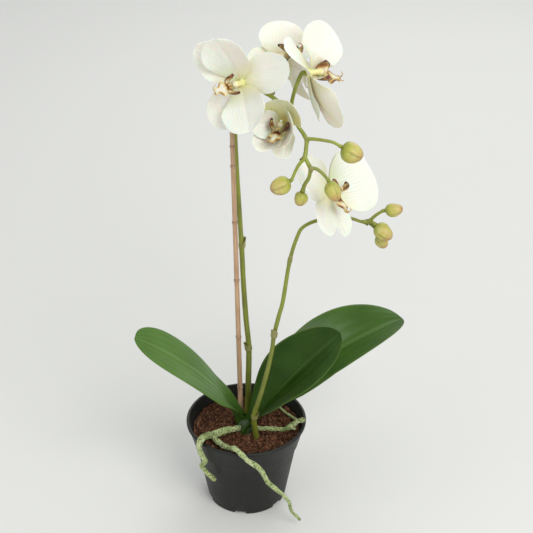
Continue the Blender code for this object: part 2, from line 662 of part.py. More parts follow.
def root_radii(count, start, end):
    """A root keeps its thickness for most of its length and narrows towards its tip."""
    return start + (end - start) * np.linspace(0, 1, count) ** 2


def build_roots(parts, cutters, material):
    """The roots that creep over the mix and down over the rim."""
    fork = over_rim(211, -21.5, -6.5)
    left_path = smooth_route([
        on_soil(218, 0.22, 4.2), on_soil(209, 0.42, 4.2), fork, over_rim(222, -5, 4.6), over_rim(225, 3.5, 2.5),
        over_rim(225, 3.6, -5), over_rim(226, 1.6, -13), over_rim(228, 0.6, -20), over_rim(224, 0.8, -28),
        over_rim(229, -2.5, -36), over_rim(236, -6.5, -45)])
    left_root = tube("aerial_root_left", left_path, root_radii(len(left_path), ROOT_RADIUS, 0.6 * ROOT_RADIUS),
                     parts, material)
    branch_path = smooth_route([
        fork, over_rim(235, -18, -7), over_rim(253, -13, -4), over_rim(261, -3, 4.4), over_rim(270, 5.5, 0),
        over_rim(281, 8.5, -10), over_rim(286.5, 9.5, -24), over_rim(291, 10.5, -33), over_rim(299, 12.5, -45),
        over_rim(304.5, 14.5, -57), over_rim(307, 14.5, -69), over_rim(313, 19, -84)])
    branch = tube("root_branch", branch_path, root_radii(len(branch_path), 0.9 * ROOT_RADIUS, 0.36 * ROOT_RADIUS),
                  cutters)
    apply_boolean(left_root, "UNION", branch)
    finish_round(left_root, 60)
    knuckle = over_rim(-15, -15, -3)
    right_path = smooth_route([
        on_soil(-30, 0.21, 3.2), on_soil(-16, 0.41, 3.2), on_soil(-13, 0.62, 3.4), knuckle,
        over_rim(-11, -7, 3.4), over_rim(-8, -0.5, 3.5)])
    right_root = tube("aerial_root_right", right_path,
                      root_radii(len(right_path), 0.7 * ROOT_RADIUS, 0.8 * ROOT_RADIUS),
                      parts, material)
    spur_path = smooth_route([knuckle, over_rim(-15, -11, -4.5), over_rim(-14, -8.5, -5)])
    spur = tube("root_spur", spur_path, root_radii(len(spur_path), 0.6 * ROOT_RADIUS, 0.4 * ROOT_RADIUS), cutters)
    apply_boolean(right_root, "UNION", spur)
    finish_round(right_root, 60)
    back_path = smooth_route([on_soil(48, 0.78, 2.4), on_soil(30, 0.75, 2.4), on_soil(14, 0.81, 3.0),
                              on_soil(6, 0.87, 5.0)])
    finish_round(tube("aerial_root_back", back_path,
                      root_radii(len(back_path), 0.36 * ROOT_RADIUS, 0.45 * ROOT_RADIUS),
                      parts, material), 60)


def build():
    remove_everything()
    parts = new_collection("potted_orchid")
    cutters = new_collection("construction")
    materials = {name: make_material(name) for name in COLOURS}
    build_pot(parts, cutters, materials["black_plastic"])
    cane, cane_hole = build_cane(parts, cutters, materials["cane"])
    spike_back, back_hole = build_spike(
        "spike_back", SPIKE_BACK_ROUTE, SPIKE_BACK_RADIUS, BACK_TWIGS, "bud_3",
        ["flower_left", "flower_top", "flower_hanging", "flower_rear"],
        parts, cutters, materials["stem_green"])
    spike_front, front_hole = build_spike(
        "spike_front", SPIKE_FRONT_ROUTE, SPIKE_FRONT_RADIUS, FRONT_TWIGS, "bud_6",
        ["flower_front"], parts, cutters, materials["stem_green"])
    crown, crown_hole = build_crown(parts, cutters, materials["leaf_green"])
    build_soil(parts, cutters, materials["bark_mix"], [cane_hole, back_hole, front_hole, crown_hole])
    for name, leaf in LEAVES.items():
        grid_solid(name, leaf_shape(leaf), LEAF_ROWS, LEAF_COLUMNS, LEAF_THICKNESS, parts,
                   materials["leaf_green"])
    build_roots(parts, cutters, materials["root_green"])
    for name, bud in BUDS.items():
        build_bud(name, bud, parts, materials["bud_green"])
    for name, flower in FLOWERS.items():
        build_flower(name, flower, parts, materials)


build()
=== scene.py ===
import math

import bpy
import numpy as np
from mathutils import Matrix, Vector


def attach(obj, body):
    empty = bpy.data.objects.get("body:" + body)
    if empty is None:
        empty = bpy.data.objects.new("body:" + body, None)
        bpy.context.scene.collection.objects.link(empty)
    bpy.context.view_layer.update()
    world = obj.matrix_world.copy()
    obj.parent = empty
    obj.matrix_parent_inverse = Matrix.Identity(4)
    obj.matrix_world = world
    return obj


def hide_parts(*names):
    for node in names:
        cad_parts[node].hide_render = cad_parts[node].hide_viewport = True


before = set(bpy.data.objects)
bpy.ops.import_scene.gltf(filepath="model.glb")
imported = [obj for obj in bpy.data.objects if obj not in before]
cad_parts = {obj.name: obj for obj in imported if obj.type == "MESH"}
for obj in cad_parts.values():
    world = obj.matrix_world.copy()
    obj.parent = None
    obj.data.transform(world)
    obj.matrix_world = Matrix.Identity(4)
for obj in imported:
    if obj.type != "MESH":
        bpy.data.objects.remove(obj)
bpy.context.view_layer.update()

mm = 0.001
soilTop = 80 * mm  # height of the mix in the pot


def unit(vector):
    vector = np.asarray(vector, float)
    return vector / np.linalg.norm(vector, axis=-1, keepdims=True)


def fromMix(points):
    # millimetres from the middle of the mix's top, to metres from the pot's foot
    return np.asarray(points, float) * mm + np.array([0, 0, soilTop])


def smoothPath(points, perSpan=10):
    # Catmull-Rom: a cubic between each two points whose slope at a point is half the step between its neighbours
    points = np.asarray(points, float)
    padded = np.vstack([2 * points[0] - points[1], points, 2 * points[-1] - points[-2]])
    t = np.linspace(0, 1, perSpan, endpoint=False)[None, :, None]
    a, b, c, d = (padded[i:len(padded) - 3 + i][:, None, :] for i in range(4))
    curve = 0.5 * (2 * b + (c - a) * t + (2 * a - 5 * b + 4 * c - d) * t ** 2 + (3 * b - a - 3 * c + d) * t ** 3)
    return np.vstack([curve.reshape(-1, 3), points[-1]])


def lengthAlong(path):
    return np.concatenate([[0], np.cumsum(np.linalg.norm(np.diff(path, axis=0), axis=1))])


def evenPath(path, count):
    # the same line with its stations spread evenly by length
    length = lengthAlong(path)
    marks = np.linspace(0, length[-1], count)
    return np.stack([np.interp(marks, length, path[:, k]) for k in range(3)], 1)


def pathFrames(path):
    # tangents, and two directions square to them that turn as little as they can from station to station
    tangent = unit(np.gradient(path, axis=0))
    carried = np.cross(tangent[0], np.eye(3)[np.argmin(np.abs(tangent[0]))])
    side = np.empty_like(path)
    for i, way in enumerate(tangent):
        carried = unit(carried - way * (carried @ way))
        side[i] = carried
    return tangent, side, np.cross(tangent, side)


def ripples(points, size, seed, waves=14):
    # soft noise between about -1 and 1: a sum of sine waves of random direction, with wavelengths near size
    rng = np.random.default_rng(seed)
    ways = unit(rng.normal(size=(waves, 3))) * (2 * np.pi / (size * rng.uniform(0.6, 1.6, (waves, 1))))
    return np.sin(points @ ways.T + rng.uniform(0, 2 * np.pi, waves)).sum(-1) / math.sqrt(waves) / 1.2


def ringFaces(rows, columns, start=0):
    # quads of a grid that closes on itself across, with one flat face over each end
    i, j = np.meshgrid(np.arange(rows - 1), np.arange(columns), indexing="ij")
    after = (j + 1) % columns
    quads = np.stack([i * columns + j, i * columns + after, (i + 1) * columns + after, (i + 1) * columns + j], -1)
    first = np.arange(columns)[::-1]
    last = np.arange(columns) + (rows - 1) * columns
    return (quads.reshape(-1, 4) + start).tolist() + [(first + start).tolist(), (last + start).tolist()]


def tubePart(path, radii, sides=16, marks=None):
    # a round section carried along the path: point = path + radius * (cos a * side + sin a * up)
    side, up = pathFrames(path)[1:]
    a = np.linspace(0, 2 * np.pi, sides, endpoint=False)
    radii = np.asarray(radii, float)
    radii = radii[:, None] if radii.ndim == 1 else radii
    around = np.cos(a)[None, :, None] * side[:, None] + np.sin(a)[None, :, None] * up[:, None]
    grid = path[:, None] + radii[..., None] * around
    rows = len(path)
    u = np.repeat(lengthAlong(path)[:, None] / max(lengthAlong(path)[-1], 1e-6), sides, 1)
    v = np.repeat(a[None] / (2 * np.pi), rows, 0)
    marks = np.zeros((rows, sides)) if marks is None else np.broadcast_to(marks, (rows, sides))
    return dict(points=grid.reshape(-1, 3), faces=ringFaces(rows, sides), uv=np.stack([u, v], -1).reshape(-1, 2),
                marks=marks.reshape(-1))


def sheetPart(grid, thickness, marks=None):
    # a closed skin around a sheet: the grid moved half its thickness each way along its normal, and a rim between
    rows, columns = grid.shape[:2]
    normal = unit(np.cross(np.gradient(grid, axis=0), np.gradient(grid, axis=1)))
    half = np.broadcast_to(thickness, (rows, columns))[..., None] / 2
    index = np.arange(rows * columns).reshape(rows, columns)
    a, b, c, d = index[:-1, :-1], index[1:, :-1], index[1:, 1:], index[:-1, 1:]
    front = np.stack([a, b, c, d], -1).reshape(-1, 4)
    back = np.stack([d, c, b, a], -1).reshape(-1, 4) + rows * columns
    loop = np.concatenate([index[:, 0], index[-1, 1:], index[-2::-1, -1], index[0, -2:0:-1]])
    onward = np.roll(loop, -1)
    rim = np.stack([loop, loop + rows * columns, onward + rows * columns, onward], -1)
    u, v = np.meshgrid(np.linspace(0, 1, rows), np.linspace(0, 1, columns), indexing="ij")
    uv = np.stack([u, v], -1).reshape(-1, 2)
    rear = np.concatenate([np.zeros(rows * columns), np.ones(rows * columns)])
    marks = np.zeros((rows, columns)) if marks is None else marks
    return dict(points=np.vstack([(grid + normal * half).reshape(-1, 3), (grid - normal * half).reshape(-1, 3)]),
                faces=np.vstack([front, back, rim]).tolist(), uv=np.vstack([uv, uv]), rear=rear,
                marks=np.tile(marks.reshape(-1), 2))


def joinParts(parts):
    points, faces, uv, rear, marks, start = [], [], [], [], [], 0
    for part in parts:
        count = len(part["points"])
        points.append(part["points"])
        faces += [[i + start for i in face] for face in part["faces"]]
        uv.append(part.get("uv", np.zeros((count, 2))))
        rear.append(part.get("rear", np.zeros(count)))
        marks.append(part.get("marks", np.zeros(count)))
        start += count
    return dict(points=np.vstack(points), faces=faces, uv=np.vstack(uv), rear=np.concatenate(rear),
                marks=np.concatenate(marks))


def addPiece(part, material, node, name=None):
    # one object at the origin, its place in its mesh, riding on the root body in place of its CAD node, and named
    # for that node unless it is given a name of its own
    first, *rest = node.split("_")
    name = name or first + "".join(word.capitalize() for word in rest)
    mesh = bpy.data.meshes.new(name)
    count = len(part["points"])
    mesh.from_pydata(part["points"].tolist(), [], part["faces"])
    mesh.shade_smooth()
    corners = np.zeros(len(mesh.loops), np.int32)
    mesh.loops.foreach_get("vertex_index", corners)
    layer = mesh.uv_layers.new(name="sheet")
    layer.data.foreach_set("uv", part.get("uv", np.zeros((count, 2)))[corners].astype(np.float32).ravel())
    for key in ("rear", "marks"):
        attribute = mesh.attributes.new(key, "FLOAT", "POINT")
        attribute.data.foreach_set("value", part.get(key, np.zeros(count)).astype(np.float32))
    mesh.materials.append(material)
    piece = bpy.data.objects.new(name, mesh)
    bpy.context.scene.collection.objects.link(piece)
    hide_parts(node)
    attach(piece, "root")
    return piece


def addNode(tree, kind, inputs=None, **settings):
    made = tree.nodes.new(kind)
    for key, value in settings.items():
        setattr(made, key, value)
    for key, value in (inputs or {}).items():
        if isinstance(value, bpy.types.NodeSocket):
            tree.links.new(value, made.inputs[key])
        else:
            made.inputs[key].default_value = value
    return made


def newMaterial(name, **values):
    material = bpy.data.materials.new(name)
    material.use_nodes = True
    tree = material.node_tree
    shader = tree.nodes["Principled BSDF"]
    for key, value in values.items():
        shader.inputs[key.replace("_", " ")].default_value = value
    return material, tree, shader


def calc(tree, operation, a, b=0.0):
    return addNode(tree, "ShaderNodeMath", {0: a, 1: b}, operation=operation).outputs[0]


def times(tree, a, b):
    return calc(tree, "MULTIPLY", a, b)


def plus(tree, a, b):
    return calc(tree, "ADD", a, b)


def ramp(tree, factor, *stops):
    # stops are (place, grey level or colour)
    made = addNode(tree, "ShaderNodeValToRGB", {0: factor})
    elements = made.color_ramp.elements
    while len(elements) < len(stops):
        elements.new(0.5)
    for element, (place, value) in zip(elements, stops):
        element.position = place
        element.color = (value, value, value, 1) if np.isscalar(value) else (*value, 1)
    return made.outputs[0]


def mixColour(tree, factor, a, b):
    made = tree.nodes.new("ShaderNodeMix")
    made.data_type = "RGBA"
    for socket, value in ((0, factor), (6, a), (7, b)):
        if isinstance(value, bpy.types.NodeSocket):
            tree.links.new(value, made.inputs[socket])
        else:
            made.inputs[socket].default_value = value if np.isscalar(value) else (*value, 1)
    return made.outputs[2]


def noise(tree, where, scale, detail, roughness):
    made = addNode(tree, "ShaderNodeTexNoise",
                   {"Vector": where, "Scale": scale, "Detail": detail, "Roughness": roughness})
    return made.outputs["Fac"]


def scaled(tree, where, scale):
    return addNode(tree, "ShaderNodeMapping", {"Vector": where, "Scale": scale}).outputs[0]


def objectPlace(tree):
    return tree.nodes.new("ShaderNodeTexCoord").outputs["Object"]


def heightOf(tree, where):
    return addNode(tree, "ShaderNodeSeparateXYZ", {0: where}).outputs[2]


def sheetPlace(tree):
    # along and across the piece, each from 0 to 1
    placed = addNode(tree, "ShaderNodeUVMap", uv_map="sheet").outputs[0]
    parts = addNode(tree, "ShaderNodeSeparateXYZ", {0: placed})
    return placed, parts.outputs[0], parts.outputs[1]


def attribute(tree, name):
    return addNode(tree, "ShaderNodeAttribute", attribute_name=name).outputs["Fac"]


def addBump(tree, shader, height, strength, distance):
    made = addNode(tree, "ShaderNodeBump", {"Height": height, "Strength": strength, "Distance": distance})
    tree.links.new(made.outputs[0], shader.inputs["Normal"])


def link(tree, shader, **sockets):
    for key, socket in sockets.items():
        tree.links.new(socket, shader.inputs[key.replace("_", " ")])


pot = dict(height=92, rim=60, lip=1.4, lipDepth=3.0, collar=26, collarInset=6.0, step=1.4, base=39.5, wall=1.3,
           floor=2.0, footWidth=10, notches=6, notchTurn=0.35, notchWidth=11, notchHeight=2.6, drains=4,
           drainRadius=4.5, drainCircle=20)


def potPlastic():
    material, tree, shader = newMaterial("potPlastic", Roughness=0.5, Specular_IOR_Level=0.30)
    where = objectPlace(tree)
    cloud = noise(tree, where, 34, 5, 0.6)
    dust = ramp(tree, noise(tree, where, 210, 3, 0.7), (0.52, 0.0), (0.74, 1.0))
    height = heightOf(tree, where)
    low = ramp(tree, calc(tree, "DIVIDE", height, 0.09), (0.0, 1.0), (0.3, 0.25), (1.0, 0.45))
    base = mixColour(tree, cloud, (0.0095, 0.0100, 0.0092), (0.017, 0.0178, 0.0162))
    base = mixColour(tree, times(tree, dust, times(tree, low, 0.20)), base, (0.11, 0.105, 0.09))
    grain = noise(tree, where, 900, 2, 0.5)
    link(tree, shader, Base_Color=base, Roughness=ramp(tree, cloud, (0.3, 0.42), (0.7, 0.58)))
    addBump(tree, shader, plus(tree, times(tree, grain, 0.25), times(tree, cloud, 0.75)), 0.18, 0.0006)
    return material


def softCorners(points, cut, steps=4):
    # each corner of the profile is replaced by a quadratic curve that starts and ends cut before and after it
    points = np.asarray(points, float)
    before, corner, after = points[:-2], points[1:-1], points[2:]
    into = corner - before
    out = after - corner
    intoLong = np.linalg.norm(into, axis=1, keepdims=True)
    outLong = np.linalg.norm(out, axis=1, keepdims=True)
    reach = np.minimum(cut, 0.45 * np.minimum(intoLong, outLong))
    start = corner - into / intoLong * reach
    end = corner + out / outLong * reach
    t = np.linspace(0, 1, steps)[None, :, None]
    curve = (1 - t) ** 2 * start[:, None] + 2 * t * (1 - t) * corner[:, None] + t ** 2 * end[:, None]
    return np.vstack([points[:1], curve.reshape(-1, 2), points[-1:]])


def makePot(sides=240):
    # a profile of radius and height turned about Z: (r cos a, r sin a, z), its foot raised inside each notch
    p = pot
    foot = p["height"] - p["collar"]
    low = p["rim"] - p["lip"] - p["collarInset"]
    shelf = p["notchHeight"] + p["floor"]
    shelfWall = p["base"] + (low - p["step"] - p["base"]) * shelf / foot - p["wall"]
    innerStep = low - p["step"] - p["wall"]
    innerRim = p["rim"] - p["lip"] - p["wall"]
    outer = [(0.05, 0), (14, 0), (p["base"] - p["footWidth"], 0), (p["base"] - 1.2, 0), (p["base"], 0.3)]
    outer += [(p["base"] + (low - p["step"] - p["base"]) * z / foot, z) for z in (2.6, 5.2, 12, 30, 50)]
    outer += [(low - p["step"], foot - 0.5 * p["step"]), (low, foot), (low + 0.08 * p["collarInset"], foot + 2),
              (p["rim"] - p["lip"], p["height"] - p["lipDepth"]), (p["rim"], p["height"] - 0.85 * p["lipDepth"]),
              (p["rim"], p["height"] - 0.3 * p["lipDepth"]), (p["rim"] - 0.45 * p["lip"], p["height"])]
    inner = [(innerRim, p["height"]), (low - p["wall"], foot + p["step"]), (innerStep, foot),
             (shelfWall, shelf), (p["base"] - p["footWidth"], shelf),
             (p["base"] - p["footWidth"] - 2, p["floor"]), (0.05, p["floor"])]
    profile = softCorners(outer + inner, 0.45) * mm
    a = np.linspace(0, 2 * np.pi, sides, endpoint=False)
    radius = np.repeat(profile[:, :1], sides, 1)
    z = np.repeat(profile[:, 1:], sides, 1)
    turn = 2 * np.pi / p["notches"]
    off = (a / turn - p["notchTurn"] + 0.5) % 1 - 0.5
    inNotch = np.abs(off * turn * p["base"]) < p["notchWidth"] / 2
    notch = p["notchHeight"] * mm
    raised = inNotch[None] & (z < 2 * notch) & (radius > (p["base"] - 8) * mm)
    raised[len(profile) // 2:] = False
    z = np.where(raised, notch + z / 2, z)
    wobble = 1 + 0.0012 * np.cos(2 * a + 0.6)[None] * (z / (p["height"] * mm))
    grid = np.stack([radius * wobble * np.cos(a), radius * wobble * np.sin(a), z], -1)
    part = dict(points=grid.reshape(-1, 3), faces=ringFaces(len(profile), sides))
    piece = addPiece(part, potPlastic(), "nursery_pot")
    cutters = []
    for k in range(p["drains"]):
        angle = 2 * math.pi * (k + 0.5) / p["drains"]
        bpy.ops.mesh.primitive_cylinder_add(vertices=32, radius=p["drainRadius"] * mm, depth=6 * p["floor"] * mm,
                                            location=(p["drainCircle"] * mm * math.cos(angle),
                                                      p["drainCircle"] * mm * math.sin(angle), 0))
        cutters.append(bpy.context.object)
        hole = piece.modifiers.new("drain", "BOOLEAN")
        hole.operation = "DIFFERENCE"
        hole.solver = "EXACT"
        hole.object = cutters[-1]
    shape = bpy.data.meshes.new_from_object(piece.evaluated_get(bpy.context.evaluated_depsgraph_get()))
    piece.modifiers.clear()
    piece.data = shape
    shape.shade_smooth()
    shape.set_sharp_from_angle(angle=math.radians(50))
    for cutter in cutters:
        bpy.data.objects.remove(cutter)
    print("pot ready")


mix = dict(radius=55.2, dome=1.2, lumps=1.3, grit=0.8, bank=3.2, chips=2200, chipSize=0.62, chipReach=51,
           fibres=620, fibreReach=47, fibreLength=(3, 11), fibreRadius=(0.10, 0.2), seed=4,
           wall=((51.9, 73), (49.3, 66), (42.1, 25), (38.6, 4.9), (0.2, 4.9)))  # radius and height down the pot


def barkMaterial():
    material, tree, shader = newMaterial("barkMix", Roughness=0.92, Specular_IOR_Level=0.25)
    where = objectPlace(tree)
    grain = noise(tree, where, 260, 6, 0.65)
    cells = addNode(tree, "ShaderNodeTexVoronoi", {"Vector": where, "Scale": 330.0, "Randomness": 1.0})
    crumbs = cells.outputs["Distance"]
    tone = addNode(tree, "ShaderNodeSeparateColor", {0: cells.outputs["Color"]}).outputs[0]
    piece = attribute(tree, "marks")
    mixed = plus(tree, times(tree, tone, 0.35), times(tree, piece, 0.65))
    base = ramp(tree, mixed, (0.05, (0.080, 0.030, 0.013)), (0.38, (0.200, 0.078, 0.036)),
                (0.72, (0.36, 0.165, 0.085)), (0.97, (0.52, 0.30, 0.18)))
    base = mixColour(tree, ramp(tree, grain, (0.32, 0.55), (0.55, 0.0)), base, (0.040, 0.016, 0.009))
    link(tree, shader, Base_Color=base)
    addBump(tree, shader, calc(tree, "SUBTRACT", grain, times(tree, crumbs, 60.0)), 0.7, 0.0012)
    return material


def makeMix():
    # a disc whose height is the dome plus soft noise, with a skirt down the pot's wall and a flat underside
    m = mix
    rng = np.random.default_rng(m["seed"])
    rings, sides = 70, 240
    share = np.linspace(0.004, 1, rings) ** 0.8
    a = np.linspace(0, 2 * np.pi, sides, endpoint=False)
    radius = share[:, None] * (m["radius"] - 1.9) * mm * np.ones(sides)
    flat = np.stack([radius * np.cos(a), radius * np.sin(a), np.zeros_like(radius)], -1)
    height = soilTop - m["dome"] * mm * share[:, None] ** 2
    height = height + (ripples(flat, 0.009, 1) * m["lumps"] + m["grit"] * ripples(flat, 0.0034, 2, 20)) * mm
    height = height - 0.6 * mm
    banked = np.clip((share[:, None] - 0.86) / 0.14, 0, 1) ** 2  # the mix climbs a little against the wall
    height = height + m["bank"] * mm * banked * (0.7 + 0.3 * ripples(flat, 0.02, 3))
    top = np.stack([flat[..., 0], flat[..., 1], height], -1)
    skirt = []
    for r, z in m["wall"]:
        skirt.append(np.stack([r * mm * np.cos(a), r * mm * np.sin(a), np.full(sides, z * mm)], -1))
    rows = np.concatenate([top, np.stack(skirt)])[::-1]
    bed = dict(points=rows.reshape(-1, 3), faces=ringFaces(len(rows), sides),
               marks=np.clip(0.42 + 0.25 * ripples(rows.reshape(-1, 3), 0.006, 5), 0, 1))
    # chips: small rounded blocks, a ring profile with flat ends, each stretched, turned and roughened at random
    count, ringCount, ringSides = m["chips"], 4, 6
    along = np.array([-1, -0.6, 0.6, 1])
    swell = np.array([0.55, 1, 1, 0.5])
    b = np.linspace(0, 2 * np.pi, ringSides, endpoint=False)
    pebble = np.stack([swell[:, None] * np.cos(b), swell[:, None] * np.sin(b),
                       along[:, None] * np.ones(ringSides)], -1)
    size = rng.lognormal(0.0, 0.42, (count, 1, 1, 1)) * m["chipSize"] * mm
    stretch = rng.uniform([0.8, 0.45, 0.9], [1.5, 1.0, 2.4], (count, 3))[:, None, None]
    chips = pebble[None] * stretch * size * (1 + 0.22 * rng.normal(size=(count, ringCount, ringSides, 1)))
    axes = np.linalg.qr(rng.normal(size=(count, 3, 3)))[0]
    axes *= np.sign(np.linalg.det(axes))[:, None, None]
    chips = np.einsum("nijk,nkl->nijl", chips, axes)
    spot = np.sqrt(rng.uniform(0, 1, count)) * m["chipReach"] * mm
    spin = rng.uniform(0, 2 * np.pi, count)
    ground = soilTop - m["dome"] * mm * (spot / (m["radius"] * mm)) ** 2 + 0.2 * mm
    ground = ground + 2.6 * mm * np.clip((spot / (52 * mm) - 0.86) / 0.14, 0, 1) ** 2
    chips = chips + np.stack([spot * np.cos(spin), spot * np.sin(spin), ground], -1)[:, None, None]
    one = np.array(ringFaces(ringCount, ringSides)[:-2])
    ends = np.array(ringFaces(ringCount, ringSides)[-2:])
    shift = np.arange(count)[:, None, None] * ringCount * ringSides
    faces = (one[None] + shift).reshape(-1, 4).tolist()
    faces += (ends[None] + shift).reshape(-1, ringSides).tolist()
    bits = dict(points=chips.reshape(-1, 3), faces=faces,
                marks=np.repeat(rng.beta(1.5, 1.9, count), ringCount * ringSides))
    # fibres: thin three-sided strands, each a gentle arc lying on the mix
    fibres = []
    t = np.linspace(0, 1, 7)[:, None]
    for k in range(m["fibres"]):
        out = math.sqrt(rng.uniform()) * m["fibreReach"] * mm
        angle, way = rng.uniform(0, 2 * np.pi, 2)
        long, bend = rng.uniform(*m["fibreLength"]) * mm, rng.normal() * 1.5 * mm
        start = np.array([out * math.cos(angle), out * math.sin(angle), soilTop + rng.uniform(-0.4, 1.2) * mm])
        run = np.array([math.cos(way), math.sin(way), rng.uniform(-0.05, 0.12)])
        aside = np.array([-run[1], run[0], 0.15])
        line = start + run * (t - 0.5) * long + aside * bend * np.sin(np.pi * t)
        if np.linalg.norm(line[[0, -1], :2], axis=1).max() < m["chipReach"] * mm:
            thick = rng.uniform(*m["fibreRadius"]) * mm
            fibres.append(tubePart(line, np.full(7, thick), 3, rng.uniform(0.5, 1.0)))
    addPiece(joinParts([bed, bits] + fibres), barkMaterial(), "potting_mix", "barkMixBed")
    print("mix ready")


cane = dict(foot=(-5, 22, -58), top=(-10.4, -3, 356), footRadius=2.6, topRadius=2.1,
            joints=(38, 101, 168, 232, 291, 311), swelling=0.62, scar=0.18, darkFrom=318)


def caneMaterial():
    material, tree, shader = newMaterial("bambooCane", Roughness=0.5, Coat_Weight=0.15, Coat_Roughness=0.35)
    where = objectPlace(tree)
    fibre = noise(tree, scaled(tree, where, (1, 1, 0.03)), 900, 4, 0.6)
    patch = noise(tree, where, 22, 4, 0.6)
    base = ramp(tree, fibre, (0.3, (0.40, 0.225, 0.125)), (0.55, (0.54, 0.355, 0.22)), (0.75, (0.66, 0.48, 0.32)))
    base = mixColour(tree, ramp(tree, patch, (0.42, 0.0), (0.70, 0.55)), base, (0.36, 0.19, 0.105))
    base = mixColour(tree, attribute(tree, "marks"), base, (0.15, 0.062, 0.034))
    link(tree, shader, Base_Color=base)
    addBump(tree, shader, fibre, 0.25, 0.0004)
    return material


def makeCane():
    # a straight tube whose radius swells in a narrow bell at each joint
    c = cane
    z = np.linspace(0, 1, 420)
    path = fromMix(np.array(c["foot"]) + z[:, None] * (np.array(c["top"]) - np.array(c["foot"])))
    above = path[:, 2] / mm - soilTop / mm
    radii = c["footRadius"] + (c["topRadius"] - c["footRadius"]) * z
    ring = np.exp(-((above[:, None] - np.array(c["joints"])) / 1.1) ** 2).sum(1)
    scar = np.exp(-((above[:, None] - np.array(c["joints"]) - 1.6) / 0.5) ** 2).sum(1)
    radii = (radii + c["swelling"] * ring - c["scar"] * scar) * mm
    radii[[0, -1]] *= 0.45
    radii[[1, -2]] *= 0.88
    high = np.clip((above - c["darkFrom"]) / 30, 0, 1) * 0.45
    tone = np.clip(0.3 * ring + 0.6 * scar + high, 0, 1)[:, None]
    addPiece(tubePart(path, radii, 24, tone), caneMaterial(), "support_cane")
    print("cane ready")


spikes = dict(
    back=dict(
        route=[(1, 17, -23), (1, 17, 0), (2, 17.5, 40), (2.8, 17, 85), (0.4, 16.5, 119), (-1.7, 15, 160),
               (-3.1, 13, 203), (-5.3, 11, 253), (-7.6, 7.5, 318), (-7, 4.5, 344), (-3.5, 2, 361), (3.5, -1, 370),
               (12.5, -4, 369), (22, -8, 363.5), (31, -13, 358.5), (40.5, -18, 352.5), (47.3, -24, 341),
               (54, -30, 332.5), (54, -37, 324.5), (53.2, -41, 319.5), (57.5, -44, 311.5), (56.7, -46, 303),
               (53.3, -47, 297), (51.7, -47, 291.5)],
        radius=3.0, nodes=(85, 203), endBud="bud_3",
        twigs=dict(
            bud_1=[(52, -28, 335), (54.4, -30.2, 332.3), (61, -31, 332), (68, -32, 331.5), (77, -33, 330),
                   (83, -34, 327)],
            bud_2=[(54, -38.5, 322.5), (53, -41.3, 319.2), (49, -43, 315), (45.5, -44, 309), (42, -46, 300.5)],
            bud_4=[(55.5, -43, 315), (57.8, -44.1, 311.3), (63, -45, 310.5), (68, -46, 307), (73, -47.5, 301.5)]),
        bracts=[(203, 9.5, 200), (85, 8.0, 20)]),
    front=dict(
        route=[(10, -17, -23), (10, -17, 0), (8, -24, 31), (12, -28, 51), (16, -31, 68), (21.5, -35, 95),
               (25.5, -37, 119), (27.3, -38, 136), (32, -37, 158), (35.5, -36, 173), (41.5, -30, 212),
               (48.6, -24, 234.5), (54, -20, 241), (65, -13, 243), (80, -7, 243), (96, -8, 243),
               (107, -12, 241.5), (113, -14, 243), (117.5, -18, 243)],
        radius=2.6, nodes=(31, 136, 212), endBud="bud_6",
        twigs=dict(
            bud_5=[(107, -12, 241.5), (112, -13.6, 242.6), (118.7, -16, 250.5), (124.6, -18, 256)],
            bud_7=[(107, -12, 241.5), (110, -13, 242), (116, -12, 238), (122, -11, 230)]),
        bracts=[(136, 9.0, 150), (31, 7.0, 250)]))
stems = dict(tipShare=0.55, stout=0.12, nodeSwelling=0.24, nodeGroove=0.07, twig=1.4, stalk=1.75, neck=1.5,
             twigBract=4.2, stalkBract=5.0)

buds = dict(
    bud_1=dict(stalk=(83, -34, 327), points=(0.85, -0.2, -0.4), length=20, width=18.5),
    bud_2=dict(stalk=(42, -46, 300.5), points=(-0.88, -0.35, -0.3), length=18.5, width=16),
    bud_3=dict(stalk=(51.7, -47, 291.5), points=(-0.25, -0.1, -0.95), length=13, width=12),
    bud_4=dict(stalk=(73, -47.5, 301.5), points=(0.4, -0.5, -0.75), length=18, width=13.5),
    bud_5=dict(stalk=(124.6, -18, 256), points=(0.95, -0.2, 0.22), length=16, width=12.5),
    bud_6=dict(stalk=(117.5, -18, 243), points=(0.7, -0.45, -0.5), length=18.5, width=15.5),
    bud_7=dict(stalk=(122, -11, 230), points=(0.4, -0.45, -0.8), length=13.5, width=12.5))

